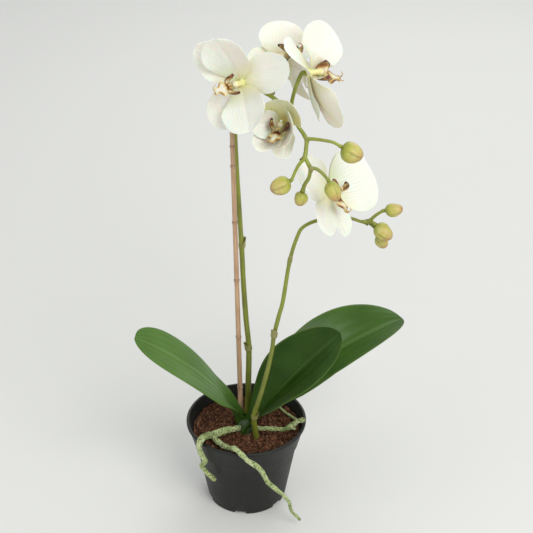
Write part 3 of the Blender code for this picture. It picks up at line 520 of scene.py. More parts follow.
# lobes: clock angle (90 is the top), lean forward, curl, length, width, twist; lipTurn is where the lip starts to
# point (0 down, 90 straight forward), lipTone darkens it, and blush tints the inner side of a lobe olive near its
# base, partly the lobe's own colour and partly painted shade inside the cupped hood
flowers = dict(
    flower_left=dict(
        centre=(-1, -38, 386), faces=(-0.53, -0.83, 0.17), top=(0.77, -0.39, 0.50), cup=22, spike="back",
        stalk=[(6, -1, 370.5), (12.5, -4, 369), (10, -14, 376), (5.5, -26, 383)],
        dorsal_sepal=(88, 4, 6, 54, 34, 0), left_sepal=(209, 11, 8, 49, 34, 0),
        right_sepal=(304, 6, 10, 46, 34, 0), lipTurn=94,
        left_petal=(170, 21, 20, 46, 45, 0), right_petal=(2, 16, 14, 44, 46, 0)),
    flower_top=dict(
        centre=(55.5, -34, 393), faces=(0.98, 0.15, 0.0), top=(0, -0.64, 0.77), cup=22, spike="back",
        stalk=[(35, -15, 356.5), (40.5, -18, 352.5), (42.3, -24, 366), (45, -31, 380)],
        dorsal_sepal=(85, -26, -14, 47, 34, 14), left_sepal=(228, 4, 20, 44, 27, 0),
        right_sepal=(296, 2, 10, 33, 24, 0), lipTone=0.25,
        left_petal=(203, 13, 30, 52, 42, -14), right_petal=(16, 22, 18, 44, 46, -58)),
    flower_hanging=dict(
        centre=(35, -20, 339.5), faces=(-0.30, -0.86, 0.30), top=(0.15, 0.1, 0.95), cup=50, spike="back",
        stalk=[(25, -9.5, 362), (31, -13, 358.5), (35, -10, 351), (37, -12, 343)],
        dorsal_sepal=(80, 36, 24, 36, 42, 0), left_sepal=(236, 34, 34, 38, 24, 0),
        # blush: olive tint, partly the lobe's own colour and partly painted shade inside this flower's hood
        right_sepal=(298, 29, 34, 38, 24, 0), blush=dict(dorsal_sepal=0.55, right_petal=0.1), lipTone=0.12,
        left_petal=(182, 42, 26, 34, 28, 0), right_petal=(1, 58, 14, 42, 37, 0)),
    flower_front=dict(
        centre=(76.5, -13, 272), faces=(0.64, -0.46, 0.61), top=(-0.14, 0.76, 0.63), cup=22, spike="front",
        stalk=[(74, -9.5, 243), (80, -7, 243), (74, -1, 251), (69.5, -3, 260)],
        dorsal_sepal=(47, 6, 8, 58, 40, 0), left_sepal=(246, -4, 34, 53, 27, 0),
        right_sepal=(300, -2, -6, 43, 25, 0), lipTurn=46, lipTone=0.15,
        left_petal=(162, 4, 8, 44, 44, 0), right_petal=(25, 19, 20, 46, 60, 0)),
    flower_rear=dict(
        centre=(33, 8, 388), faces=(0.2, -0.7, 0.68), top=(-1, -0.1, 0.1), cup=22, spike="back",
        stalk=[(16, -5.5, 367), (22, -8, 363.5), (27, 2, 368), (31, 11, 378)],
        dorsal_sepal=(104, 6, -6, 31, 30, 0), left_sepal=(250, -8, -8, 33, 23, 0),
        right_sepal=(316, -12, -10, 36, 26, 0), lipTone=0.3,
        left_petal=(212, 4, 14, 44, 16, 84), right_petal=(6, 10, 12, 34, 40, 0)))


def stemMaterial():
    material, tree, shader = newMaterial("stemGreen", Roughness=0.42, Coat_Weight=0.1, Coat_Roughness=0.3,
                                         Subsurface_Weight=0.08, Subsurface_Scale=0.002)
    where = objectPlace(tree)
    stripe = noise(tree, scaled(tree, where, (1, 1, 0.06)), 700, 3, 0.6)
    patch = noise(tree, where, 26, 5, 0.6)
    height = heightOf(tree, where)
    high = ramp(tree, calc(tree, "DIVIDE", height, 0.52), (0.30, 0.0), (0.80, 1.0))
    lowTone = mixColour(tree, stripe, (0.115, 0.145, 0.012), (0.215, 0.245, 0.030))
    highTone = mixColour(tree, stripe, (0.225, 0.270, 0.024), (0.350, 0.395, 0.055))
    base = mixColour(tree, high, lowTone, highTone)
    base = mixColour(tree, ramp(tree, patch, (0.45, 0.0), (0.72, 0.55)), base, (0.085, 0.078, 0.018))
    base = mixColour(tree, times(tree, attribute(tree, "marks"), 0.8), base, (0.300, 0.250, 0.120))
    link(tree, shader, Base_Color=base)
    addBump(tree, shader, plus(tree, stripe, times(tree, patch, 0.6)), 0.22, 0.0006)
    return material


def bractPart(path, station, long, angle, radius):
    # a pointed scale that wraps the stem: angle grows across it, and it lifts off the stem towards its tip
    tangent, side, up = pathFrames(path)
    u, v = np.meshgrid(np.linspace(0, 1, 18), np.linspace(-1, 1, 19), indexing="ij")
    wrap = math.radians(angle) + v * 1.9 * np.sqrt(np.clip(1 - u ** 1.6, 0.004, 1))
    out = radius + 0.55 * mm + 1.1 * mm * u ** 2
    around = np.cos(wrap)[..., None] * side[station] + np.sin(wrap)[..., None] * up[station]
    grid = path[station] + around * out[..., None] + tangent[station] * ((u - 0.15) * long * mm)[..., None]
    return sheetPart(grid[:, ::-1], 0.45 * mm * (1 - 0.6 * np.abs(v)), np.full(u.shape, 0.75))


def makeSpike(node, spike, material):
    # tubes along the spike, its twigs and its flower stalks, thicker at the nodes and where each bud is carried
    path = smoothPath(spike["route"], 14)
    path = evenPath(fromMix(path), 420)
    last = path[-1] + unit(buds[spike["endBud"]]["points"]) * (stems["neck"] + 0.9) * mm
    path = np.vstack([path, last])
    share = lengthAlong(path) / lengthAlong(path)[-1]
    radii = spike["radius"] * mm * (1 + (stems["tipShare"] - 1) * np.clip(share * 1.02, 0, 1))
    radii = radii * (1 + stems["stout"] * np.clip(1 - share / 0.3, 0, 1))  # stouter near the mix
    above = (path[:, 2] - soilTop) / mm
    climbing = share < 0.75
    bulge = sum(np.exp(-((above - z) / 3.2) ** 2) * climbing for z in spike["nodes"])
    groove = sum(np.exp(-((above - z - 3.4) / 0.7) ** 2) * climbing for z in spike["nodes"])
    radii = radii * (1 + stems["nodeSwelling"] * bulge - stems["nodeGroove"] * groove)
    radii = radii + 0.06 * mm * ripples(path, 0.02, 3)
    radii[-4:] *= np.array([1.0, 1.1, 1.25, 1.3])
    parts = [tubePart(path, radii, 20, np.clip(0.25 * bulge + 0.8 * groove, 0, 1)[:, None])]
    for z, long, angle in spike["bracts"]:
        station = int(np.argmin(np.abs(above - z) + 1000 * ~climbing))
        parts.append(bractPart(path, station, long, angle, radii[station]))
    for bud, route in spike["twigs"].items():
        line = smoothPath(fromMix(route), 10)
        line = np.vstack([line, line[-1] + unit(buds[bud]["points"]) * (stems["neck"] + 0.9) * mm])
        sizes = np.linspace(stems["twig"] * 1.25, stems["twig"] * 0.95, len(line)) * mm
        sizes[-4:] *= np.array([1.0, 1.12, 1.3, 1.35])
        parts.append(tubePart(line, sizes, 16))
        parts.append(bractPart(line, 10, stems["twigBract"], 120, sizes[10] + 0.2 * mm))
    for flower in flowers.values():
        if spike is not spikes[flower["spike"]]:
            continue
        centre = fromMix(flower["centre"])
        back = unit(flower["faces"])
        route = np.vstack([fromMix(flower["stalk"]), centre - back * 6.0 * mm, centre - back * 1.2 * mm])
        line = smoothPath(route, 10)
        sizes = stems["stalk"] * mm * (0.95 + 0.45 * np.clip(np.linspace(-1.6, 1, len(line)), 0, 1) ** 1.5)
        parts.append(tubePart(line, sizes, 16))
        parts.append(bractPart(line, 11, stems["stalkBract"], 60, sizes[11] + 0.2 * mm))
    addPiece(joinParts(parts), material, node)


budSkin = dict(seamDepth=0.085, seamWidth=0.055, keel=0.02, bow=0.05, rows=56, columns=72)


def budMaterial():
    material, tree, shader = newMaterial("budSkin", Roughness=0.4, Subsurface_Weight=0.12, Subsurface_Scale=0.003,
                                         Coat_Weight=0.08, Coat_Roughness=0.35)
    placed, u = sheetPlace(tree)[:2]
    where = objectPlace(tree)
    patch = noise(tree, where, 95, 5, 0.6)
    streak = noise(tree, scaled(tree, placed, (2.2, 22, 1)), 3.0, 4, 0.6)
    base = ramp(tree, u, (0.0, (0.230, 0.270, 0.028)), (0.3, (0.440, 0.455, 0.080)),
                (0.62, (0.560, 0.520, 0.140)), (0.84, (0.520, 0.390, 0.110)), (1.0, (0.400, 0.220, 0.100)))
    base = mixColour(tree, ramp(tree, streak, (0.42, 0.0), (0.68, 0.55)), base, (0.270, 0.245, 0.030))
    base = mixColour(tree, ramp(tree, patch, (0.5, 0.0), (0.75, 0.5)), base, (0.66, 0.62, 0.30))
    flush = times(tree, ramp(tree, noise(tree, where, 150, 4, 0.6), (0.50, 0.0), (0.66, 0.5)),
                  ramp(tree, u, (0.25, 0.2), (0.7, 1.0)))
    base = mixColour(tree, flush, base, (0.50, 0.27, 0.14))
    base = mixColour(tree, attribute(tree, "marks"), base, (0.120, 0.120, 0.016))
    link(tree, shader, Base_Color=base)
    addBump(tree, shader, plus(tree, streak, patch), 0.2, 0.0008)
    return material


def makeBud(name, bud, material, seed):
    # an egg: radius = half width * sqrt(1 - (2s - 1)^2), fullest near the stalk and pressed in at three seams
    points = unit(bud["points"])
    length, width = bud["length"] * mm, bud["width"] * mm
    start = fromMix(bud["stalk"]) + points * (stems["neck"] + 0.6) * mm
    aside = unit(np.cross(points, (0, 0, 1)))
    other = np.cross(points, aside)
    rows, columns = budSkin["rows"], budSkin["columns"]
    s = (1 - np.cos(np.linspace(0.02, np.pi - 0.02, rows))) / 2
    a = np.linspace(0, 2 * np.pi, columns, endpoint=False)
    egg = np.sqrt(np.clip(1 - (2 * s ** 0.9 - 1) ** 2, 0, 1)) * (1.06 - 0.16 * s)
    third = 2 * np.pi / 3
    off = ((a + 0.35 * seed) / third + 0.5) % 1 - 0.5
    fade = np.clip((s - 0.12) / 0.4, 0, 1)[:, None] * np.clip((1.02 - s) / 0.1, 0, 1)[:, None]
    seam = np.exp(-(off / budSkin["seamWidth"]) ** 2)[None] * fade
    keel = np.exp(-((np.abs(off) - 0.5) / 0.16) ** 2)[None] * fade
    radius = width / 2 * egg[:, None] * (1 - budSkin["seamDepth"] * seam + budSkin["keel"] * keel)
    around = np.cos(a)[None, :, None] * aside + np.sin(a)[None, :, None] * other
    bow = budSkin["bow"] * width * np.sin(np.pi * s)[:, None, None] * other
    grid = start + points * (s * length)[:, None, None] + radius[..., None] * around + bow
    grid = grid + 0.12 * mm * ripples(grid, 0.006, seed)[..., None] * around
    u = np.repeat(s[:, None], columns, 1)
    v = np.repeat(a[None] / (2 * np.pi), rows, 0)
    part = dict(points=grid.reshape(-1, 3), faces=ringFaces(rows, columns), marks=(0.5 * seam).reshape(-1),
                uv=np.stack([u, v], -1).reshape(-1, 2))
    addPiece(part, material, name)


# shape of a lobe: the share of its length where it is widest, and the powers of its swell and its end; wave in mm
petals = dict(thickness=0.75, ring=3.0, whorl=0.9, lastLayer=2.7, claw=1.8, groove=0.55, softness=0.8,
              petalShape=(0.54, 0.62, 2.2), petalWave=2.2, sepalShape=(0.52, 0.85, 2.0), sepalWave=1.2,
              rows=64, columns=44, seed=8)


def petalMaterial():
    material, tree, shader = newMaterial("petalWhite", Roughness=0.55, Specular_IOR_Level=0.35,
                                         Subsurface_Weight=0.35, Subsurface_Scale=0.003,
                                         Sheen_Weight=0.12, Sheen_Roughness=0.4)
    placed, u, v = sheetPlace(tree)
    where = objectPlace(tree)
    wander = noise(tree, scaled(tree, placed, (2.5, 4, 1)), 3.0, 3, 0.5)
    fan = times(tree, plus(tree, v, times(tree, wander, 0.05)), 2 * math.pi * 11)
    line = calc(tree, "POWER", calc(tree, "ABSOLUTE", calc(tree, "COSINE", fan)), 9.0)
    vein = times(tree, line, ramp(tree, u, (0.05, 0.3), (0.3, 1.0), (0.72, 0.75), (0.98, 0.0)))
    rear = attribute(tree, "rear")
    middle = calc(tree, "ABSOLUTE", calc(tree, "SUBTRACT", v, 0.5))
    rib = times(tree, ramp(tree, middle, (0.0, 1.0), (0.045, 0.55), (0.14, 0.0)),
                ramp(tree, u, (0.0, 1.0), (0.55, 0.75), (0.95, 0.1)))
    tint = attribute(tree, "marks")
    base = mixColour(tree, noise(tree, where, 45, 3, 0.5), (0.81, 0.815, 0.745), (0.875, 0.88, 0.825))
    base = mixColour(tree, ramp(tree, u, (0.0, 0.8), (0.12, 0.42), (0.34, 0.0)), base, (0.66, 0.68, 0.27))
    base = mixColour(tree, times(tree, vein, 0.38), base, (0.58, 0.61, 0.45))
    base = mixColour(tree, times(tree, rear, plus(tree, times(tree, rib, 0.62), 0.20)),
                     base, (0.56, 0.58, 0.27))
    # the marks tint the front side olive, partly the lobe's own colour and partly painted shade inside a cupped
    # lobe; the rear side takes little of it
    tint = times(tree, tint, calc(tree, "SUBTRACT", 1.0, times(tree, rear, 0.9)))
    base = mixColour(tree, tint, base, (0.76, 0.76, 0.20))
    link(tree, shader, Base_Color=base)
    height = plus(tree, times(tree, vein, -0.6), noise(tree, where, 420, 3, 0.5))
    addBump(tree, shader, height, 0.22, 0.0007)
    return material


def flowerAxes(flower):
    faces = unit(flower["faces"])
    top = np.array(flower["top"], float)
    top = unit(top - faces * (top @ faces))
    return fromMix(flower["centre"]), faces, top


def runFrom(angles, length):
    # running sum of the unit steps (cos, sin) of the angles by the trapezium rule, times the length
    step = np.stack([np.cos(angles), np.sin(angles)], 1)
    middle = (step[1:] + step[:-1]) / 2 / (len(angles) - 1)
    return np.vstack([[0, 0], np.cumsum(middle, axis=0)]) * length


def lobePart(flower, title, layer, seed):
    # along: a run that leans forward and curls; across: an arc of the lobe's width; both turned by the twist,
    # with an edge that waves a little and a groove down the middle
    clock, lean, curl, length, width, twist = flower[title]
    length, width = length * mm, width * mm
    centre, faces, top = flowerAxes(flower)
    sideways = np.cross(top, faces)
    outward = math.cos(math.radians(clock)) * sideways + math.sin(math.radians(clock)) * top
    across = np.cross(faces, outward)
    base = centre + faces * petals["whorl"] * layer * mm
    rows, columns = petals["rows"], petals["columns"] + 1
    u = 1 - (1 - np.linspace(0, 1, rows)) ** 1.3
    v = np.linspace(-1, 1, columns)
    v = np.sin(v * np.pi / 2) * 0.35 + v * 0.65
    stations = np.linspace(0, 1, 121)
    run = runFrom(np.radians(lean + curl * stations), length - petals["ring"] * mm)
    out = petals["ring"] * mm + np.interp(u, stations, run[:, 0])
    forward = np.interp(u, stations, run[:, 1])
    kind = title.split("_")[1]
    widest, swellPower, endPower = petals[kind + "Shape"]
    swell = np.sin(np.pi / 2 * np.clip(u / widest, 0, 1)) ** swellPower
    end = np.clip((u - widest) / (1 - widest), 0, 1)
    claw = petals["claw"] * mm
    half = np.maximum((claw + (width / 2 - claw) * swell) * np.sqrt(1 - end ** endPower), 0.35 * mm)[:, None]
    tilt = np.radians(lean + curl * u)[:, None]
    square = np.cos(tilt) * faces - np.sin(tilt) * outward
    turn = np.radians(twist * np.clip(u / 0.35, 0, 1))[:, None]
    side = np.cos(turn) * across + np.sin(turn) * square
    normal = np.cos(turn) * square - np.sin(turn) * across
    cup = width / 2 / math.radians(flower["cup"])
    bend = v[None] * half / cup
    rng = np.random.default_rng(petals["seed"] * 100 + seed)
    wave = rng.uniform(0.35, 0.9) * mm * petals[kind + "Wave"]
    phase = rng.uniform(0, 2 * np.pi, 4)
    edge = np.sin(u[:, None] * 9 * rng.uniform(0.8, 1.2) + phase[0] * np.sign(v[None]) + phase[1])
    edge = np.abs(v[None]) ** 3 * edge
    edge = edge * np.sin(np.pi * np.clip(u[:, None], 0, 1)) ** 0.5
    groove = -petals["groove"] * mm * np.exp(-(v[None] / 0.10) ** 2) * np.sin(np.pi * u[:, None]) ** 0.7
    soft = np.sin(2.3 * u[:, None] + phase[2]) * np.sin(2.0 * v[None] + phase[3]) * u[:, None]
    soft = petals["softness"] * mm * soft
    lift = cup * (1 - np.cos(bend)) + wave * edge + groove + soft
    spread = cup * np.sin(bend)
    grid = (base + out[:, None, None] * outward + forward[:, None, None] * faces
            + spread[..., None] * side[:, None] + lift[..., None] * normal[:, None])
    rim = 1 - 0.72 * np.maximum(np.abs(v[None]) ** 5, (u[:, None]) ** 9)
    # olive tint on the inner side, strongest near the base: partly the lobe's own colour, partly painted shade
    # inside a cupped lobe
    blush = flower.get("blush", {}).get(title, 0.0) * np.clip(1.5 - 1.1 * u[:, None], 0, 1) * np.ones_like(v)
    return sheetPart(grid, petals["thickness"] * mm * rim, blush)


# the lip's colours come from its marks: 0 white, 0.4 golden, 1 dark maroon; its outer side is paler
lips = dict(thickness=0.8, forward=3.2, drop=3.6, turn=82, curl=30, length=27, sideReach=7.0, sideRise=7.4,
            callus=1.4, thread=(0.6, 0.25))
hoodBar = dict(start=-2.2, length=14.5, bow=1.6, radius=2.3)  # the column over the lip


def lipMaterial():
    material, tree, shader = newMaterial("lipGold", Roughness=0.45, Coat_Weight=0.08, Coat_Roughness=0.3,
                                         Subsurface_Weight=0.15, Subsurface_Scale=0.002)
    where = objectPlace(tree)
    spots = noise(tree, where, 420, 4, 0.6)
    blot = noise(tree, where, 190, 3, 0.5)
    rear = attribute(tree, "rear")
    depth = plus(tree, attribute(tree, "marks"), times(tree, calc(tree, "SUBTRACT", blot, 0.5), 0.5))
    depth = times(tree, depth, calc(tree, "SUBTRACT", 1.0, times(tree, rear, 0.38)))
    base = ramp(tree, depth, (0.12, (0.76, 0.77, 0.68)), (0.28, (0.66, 0.58, 0.26)), (0.42, (0.40, 0.22, 0.055)),
                (0.56, (0.170, 0.050, 0.020)), (0.80, (0.060, 0.012, 0.009)))
    pink = times(tree, ramp(tree, spots, (0.52, 0.0), (0.62, 0.55)), ramp(tree, depth, (0.05, 0.3), (0.4, 1.0)))
    base = mixColour(tree, pink, base, (0.34, 0.10, 0.085))
    link(tree, shader, Base_Color=base)
    addBump(tree, shader, spots, 0.3, 0.0007)
    return material


def columnMaterial():
    material, tree, shader = newMaterial("columnCream", Roughness=0.4, Coat_Weight=0.15, Coat_Roughness=0.25,
                                         Subsurface_Weight=0.2, Subsurface_Scale=0.002)
    u = sheetPlace(tree)[1]
    spots = noise(tree, objectPlace(tree), 300, 4, 0.6)
    base = ramp(tree, u, (0.0, (0.62, 0.62, 0.22)), (0.45, (0.78, 0.74, 0.36)), (0.78, (0.80, 0.72, 0.34)),
                (1.0, (0.86, 0.82, 0.62)))
    base = mixColour(tree, ramp(tree, spots, (0.56, 0.0), (0.70, 0.4)), base, (0.50, 0.36, 0.08))
    link(tree, shader, Base_Color=base)
    addBump(tree, shader, spots, 0.2, 0.0005)
    return material


def lipPart(flower):
    # a middle lobe, two side lobes that rise beside the column, a callus between them and two curled threads
    centre, faces, top = flowerAxes(flower)
    across = np.cross(faces, -top)
    base = centre + faces * lips["forward"] * mm - top * lips["drop"] * mm
    parts = []
    # middle lobe: its line curls forward; its half width is a broad base, a waist, a diamond and a tip
    u, v = np.meshgrid(np.linspace(0, 1, 60), np.linspace(-1, 1, 33), indexing="ij")
    stations = np.linspace(0, 1, 101)
    turn = flower.get("lipTurn", lips["turn"]) - lips["curl"] * stations ** 1.5
    run = runFrom(np.radians(turn), lips["length"] * mm)
    down = np.interp(u, stations, run[:, 0])
    ahead = np.interp(u, stations, run[:, 1])
    half = (1.9 + 3.2 * np.exp(-((u - 0.16) / 0.16) ** 2) + 4.6 * np.exp(-((u - 0.62) / 0.15) ** 2)
            + 1.2 * np.exp(-((u - 0.94) / 0.05) ** 2)) * (1 - 0.5 * np.clip((u - 0.95) / 0.05, 0, 1)) * mm
    lift = (2.6 * v * v * np.exp(-((u - 0.22) / 0.22) ** 2) - 1.6 * v * v * np.exp(-((u - 0.66) / 0.16) ** 2)
            + 0.8 * np.exp(-(v / 0.22) ** 2) * np.clip(u * 3, 0, 1)) * mm
    grid = (base - down[..., None] * top + ahead[..., None] * faces + (v * half)[..., None] * across
            + lift[..., None] * (0.5 * faces + 0.86 * top))
    tone = 0.08 + 0.95 * np.exp(-((u - 0.40) / 0.15) ** 2) * (1 - 0.4 * v * v)
    tone = tone + 0.7 * np.exp(-((u - 0.76) / 0.13) ** 2) * np.clip(np.abs(v) * 1.7 - 0.35, 0, 1)
    tone = tone + 0.35 * np.clip(u - 0.85, 0, 1) / 0.15
    tone = tone + flower.get("lipTone", 0.0)
    parts.append(sheetPart(grid[:, ::-1], lips["thickness"] * mm * (1 - 0.5 * np.abs(v) ** 4), tone[:, ::-1]))
    # side lobes: each rises from the base, outward then in over the column, its end broad and round
    for hand in (-1, 1):
        u, v = np.meshgrid(np.linspace(0, 1, 40), np.linspace(-1, 1, 29), indexing="ij")
        sweep = np.radians(-6 + 112 * u ** 0.9)
        aside = (1.4 + lips["sideReach"] * np.sin(sweep)) * mm
        rise = lips["sideRise"] * (1 - np.cos(sweep)) * mm
        half = 2.4 + 3.4 * np.sin(np.pi * np.clip(u * 0.9 + 0.06, 0, 1))
        half = half * np.sqrt(np.clip(1.01 - u ** 4, 0.006, 1)) * mm
        ahead = 8.0 * mm + 3.5 * mm * u + v * half
        curve = 1.6 * mm * v * v * u
        grid = base + hand * (aside - curve)[..., None] * across
        grid = grid + rise[..., None] * top + ahead[..., None] * faces
        tone = 0.24 + 0.62 * np.exp(-((u - 0.58) / 0.24) ** 2) * np.clip(1.15 - 0.9 * v * v, 0, 1)
        tone = tone + 0.75 * np.clip((np.abs(v) - 0.78) / 0.16, 0, 1) * np.clip(u * 2, 0, 1)
        tone = tone + 0.6 * np.clip((u - 0.86) / 0.1, 0, 1)
        if hand < 0:
            grid, tone = grid[:, ::-1], tone[:, ::-1]
        parts.append(sheetPart(grid, lips["thickness"] * mm * (1 - 0.5 * np.abs(v) ** 4), tone))
    # callus: two small swellings side by side
    roundEnds = np.sqrt(np.clip(1 - np.linspace(-0.97, 0.97, 9) ** 2, 0.03, 1))
    for hand in (-1, 1):
        line = base + faces * np.linspace(8.0, 12.6, 9)[:, None] * mm + top * 1.9 * mm + across * hand * 1.25 * mm
        parts.append(tubePart(line, lips["callus"] * mm * roundEnds, 12, 0.3))
    # threads at the tip, curling up and back
    tip = base - top * run[-1, 0] + faces * run[-1, 1]
    s = np.linspace(0, 1, 22)[:, None]
    for hand in (-1, 1):
        line = (tip + across * hand * (1.0 + 3.4 * s) * mm + faces * (-1.0 + 3.2 * np.sin(2.6 * s)) * mm
                + top * (0.2 + 4.2 * s ** 1.5) * mm)
        parts.append(tubePart(line, np.linspace(*lips["thread"], 22) * mm, 8, 0.38))
    return joinParts(parts)


def columnPart(flower):
    # a bar over the lip: its line bows up, its radius is full at the ring, slim in the middle, hooded at its end
    centre, faces, top = flowerAxes(flower)
    c = hoodBar
    s = np.linspace(0, 1, 40)
    line = centre + faces * (c["start"] + c["length"] * s)[:, None] * mm
    line = line + top * (c["bow"] * np.sin(np.pi * s * 0.9))[:, None] * mm
    radii = c["radius"] + 1.6 * np.exp(-((s - 0.10) / 0.18) ** 2) + 0.9 * np.exp(-((s - 0.84) / 0.13) ** 2)
    radii = radii * np.sqrt(np.clip(1 - np.clip((s - 0.86) / 0.14, 0, 1) ** 2.4, 0.03, 1)) * mm
    radii[0] *= 0.4
    return tubePart(line, radii, 24)


def makeFlower(name, flower, materials, seed):
    layers = dict(dorsal_sepal=-1, left_sepal=-1, right_sepal=-petals["lastLayer"], left_petal=1, right_petal=1)
    for k, (lobe, layer) in enumerate(layers.items()):
        part = lobePart(flower, lobe, layer, seed * 10 + k)
        addPiece(part, materials["petal"], f"{name}_{lobe}")
    addPiece(lipPart(flower), materials["lip"], f"{name}_lip")
    addPiece(columnPart(flower), materials["column"], f"{name}_column")


leaves = dict(
    leaf_left=dict(root=(-3, -2, -3), base=(-9, 0.5, 9.5), heading=202, climb=(78, 37), ease=0.5, length=161,
                   width=60, roll=(-12, -20), fold=4, blunt=2.2, tone=0.80),
    leaf_middle=dict(root=(1, -4, -4), base=(5.5, -5, 6.5), heading=-7, climb=(63, 47), ease=0.73, length=145,
                     width=67, roll=(24, 58), fold=35, blunt=1.6, tone=0.04),
    leaf_right=dict(root=(2, -1, -4), base=(7, 7.5, 6.5), heading=22, climb=(46.5, 9.5), ease=0.8, length=185,
                    width=80, roll=(41, 0), fold=35, blunt=2.35, tone=0.36))
leafSkin = dict(thickness=1.5, sheathThickness=3.2, sheathHalf=13.0, sheathFold=62, widest=0.58, softFold=0.09,
                ribHeight=0.11, edgeWave=1.3, rows=110, columns=56)
crown = dict(heights=(-11, -6, -1, 4, 9, 13), radii=(4.0, 7.5, 9.0, 7.4, 5.2, 2.2), ridges=1.7, wrinkles=0.35)


def leafMaterial():
    material, tree, shader = newMaterial("leafGreen", Roughness=0.36, Specular_IOR_Level=0.2, Coat_Weight=0.06,
                                         Coat_Roughness=0.2, Subsurface_Weight=0.05, Subsurface_Scale=0.002)
    placed, u, v = sheetPlace(tree)
    where = objectPlace(tree)
    streak = noise(tree, scaled(tree, placed, (1.3, 34, 1)), 2.4, 5, 0.6)
    fine = noise(tree, scaled(tree, placed, (3.0, 120, 1)), 2.2, 3, 0.5)
    patch = noise(tree, where, 20, 4, 0.55)
    rear = attribute(tree, "rear")
    tone = attribute(tree, "marks")
    middle = calc(tree, "ABSOLUTE", calc(tree, "SUBTRACT", v, 0.5))
    rib = times(tree, ramp(tree, middle, (0.0, 1.0), (0.008, 0.7), (0.03, 0.0)),
                ramp(tree, u, (0.1, 0.4), (0.4, 1.0), (0.9, 0.5)))
    edge = ramp(tree, middle, (0.465, 0.0), (0.495, 1.0))
    dark = mixColour(tree, streak, (0.006, 0.028, 0.0005), (0.018, 0.060, 0.001))
    light = mixColour(tree, streak, (0.048, 0.140, 0.010), (0.112, 0.240, 0.040))
    base = mixColour(tree, tone, dark, light)
    base = mixColour(tree, ramp(tree, patch, (0.40, 0.0), (0.75, 0.25)), base, (0.075, 0.135, 0.010))
    base = mixColour(tree, times(tree, rib, plus(tree, times(tree, tone, 0.4), 0.12)),
                     base, (0.19, 0.30, 0.085))
    base = mixColour(tree, times(tree, edge, 0.35), base, (0.13, 0.21, 0.035))
    base = mixColour(tree, times(tree, rear, 0.65), base, (0.085, 0.165, 0.045))
    base = mixColour(tree, ramp(tree, u, (0.08, 0.85), (0.30, 0.0)), base, (0.022, 0.060, 0.004))
    link(tree, shader, Base_Color=base, Roughness=ramp(tree, patch, (0.3, 0.27), (0.7, 0.40)))
    height = plus(tree, times(tree, streak, 0.9), times(tree, fine, 0.35))
    addBump(tree, shader, height, 0.28, 0.0011)
    return material


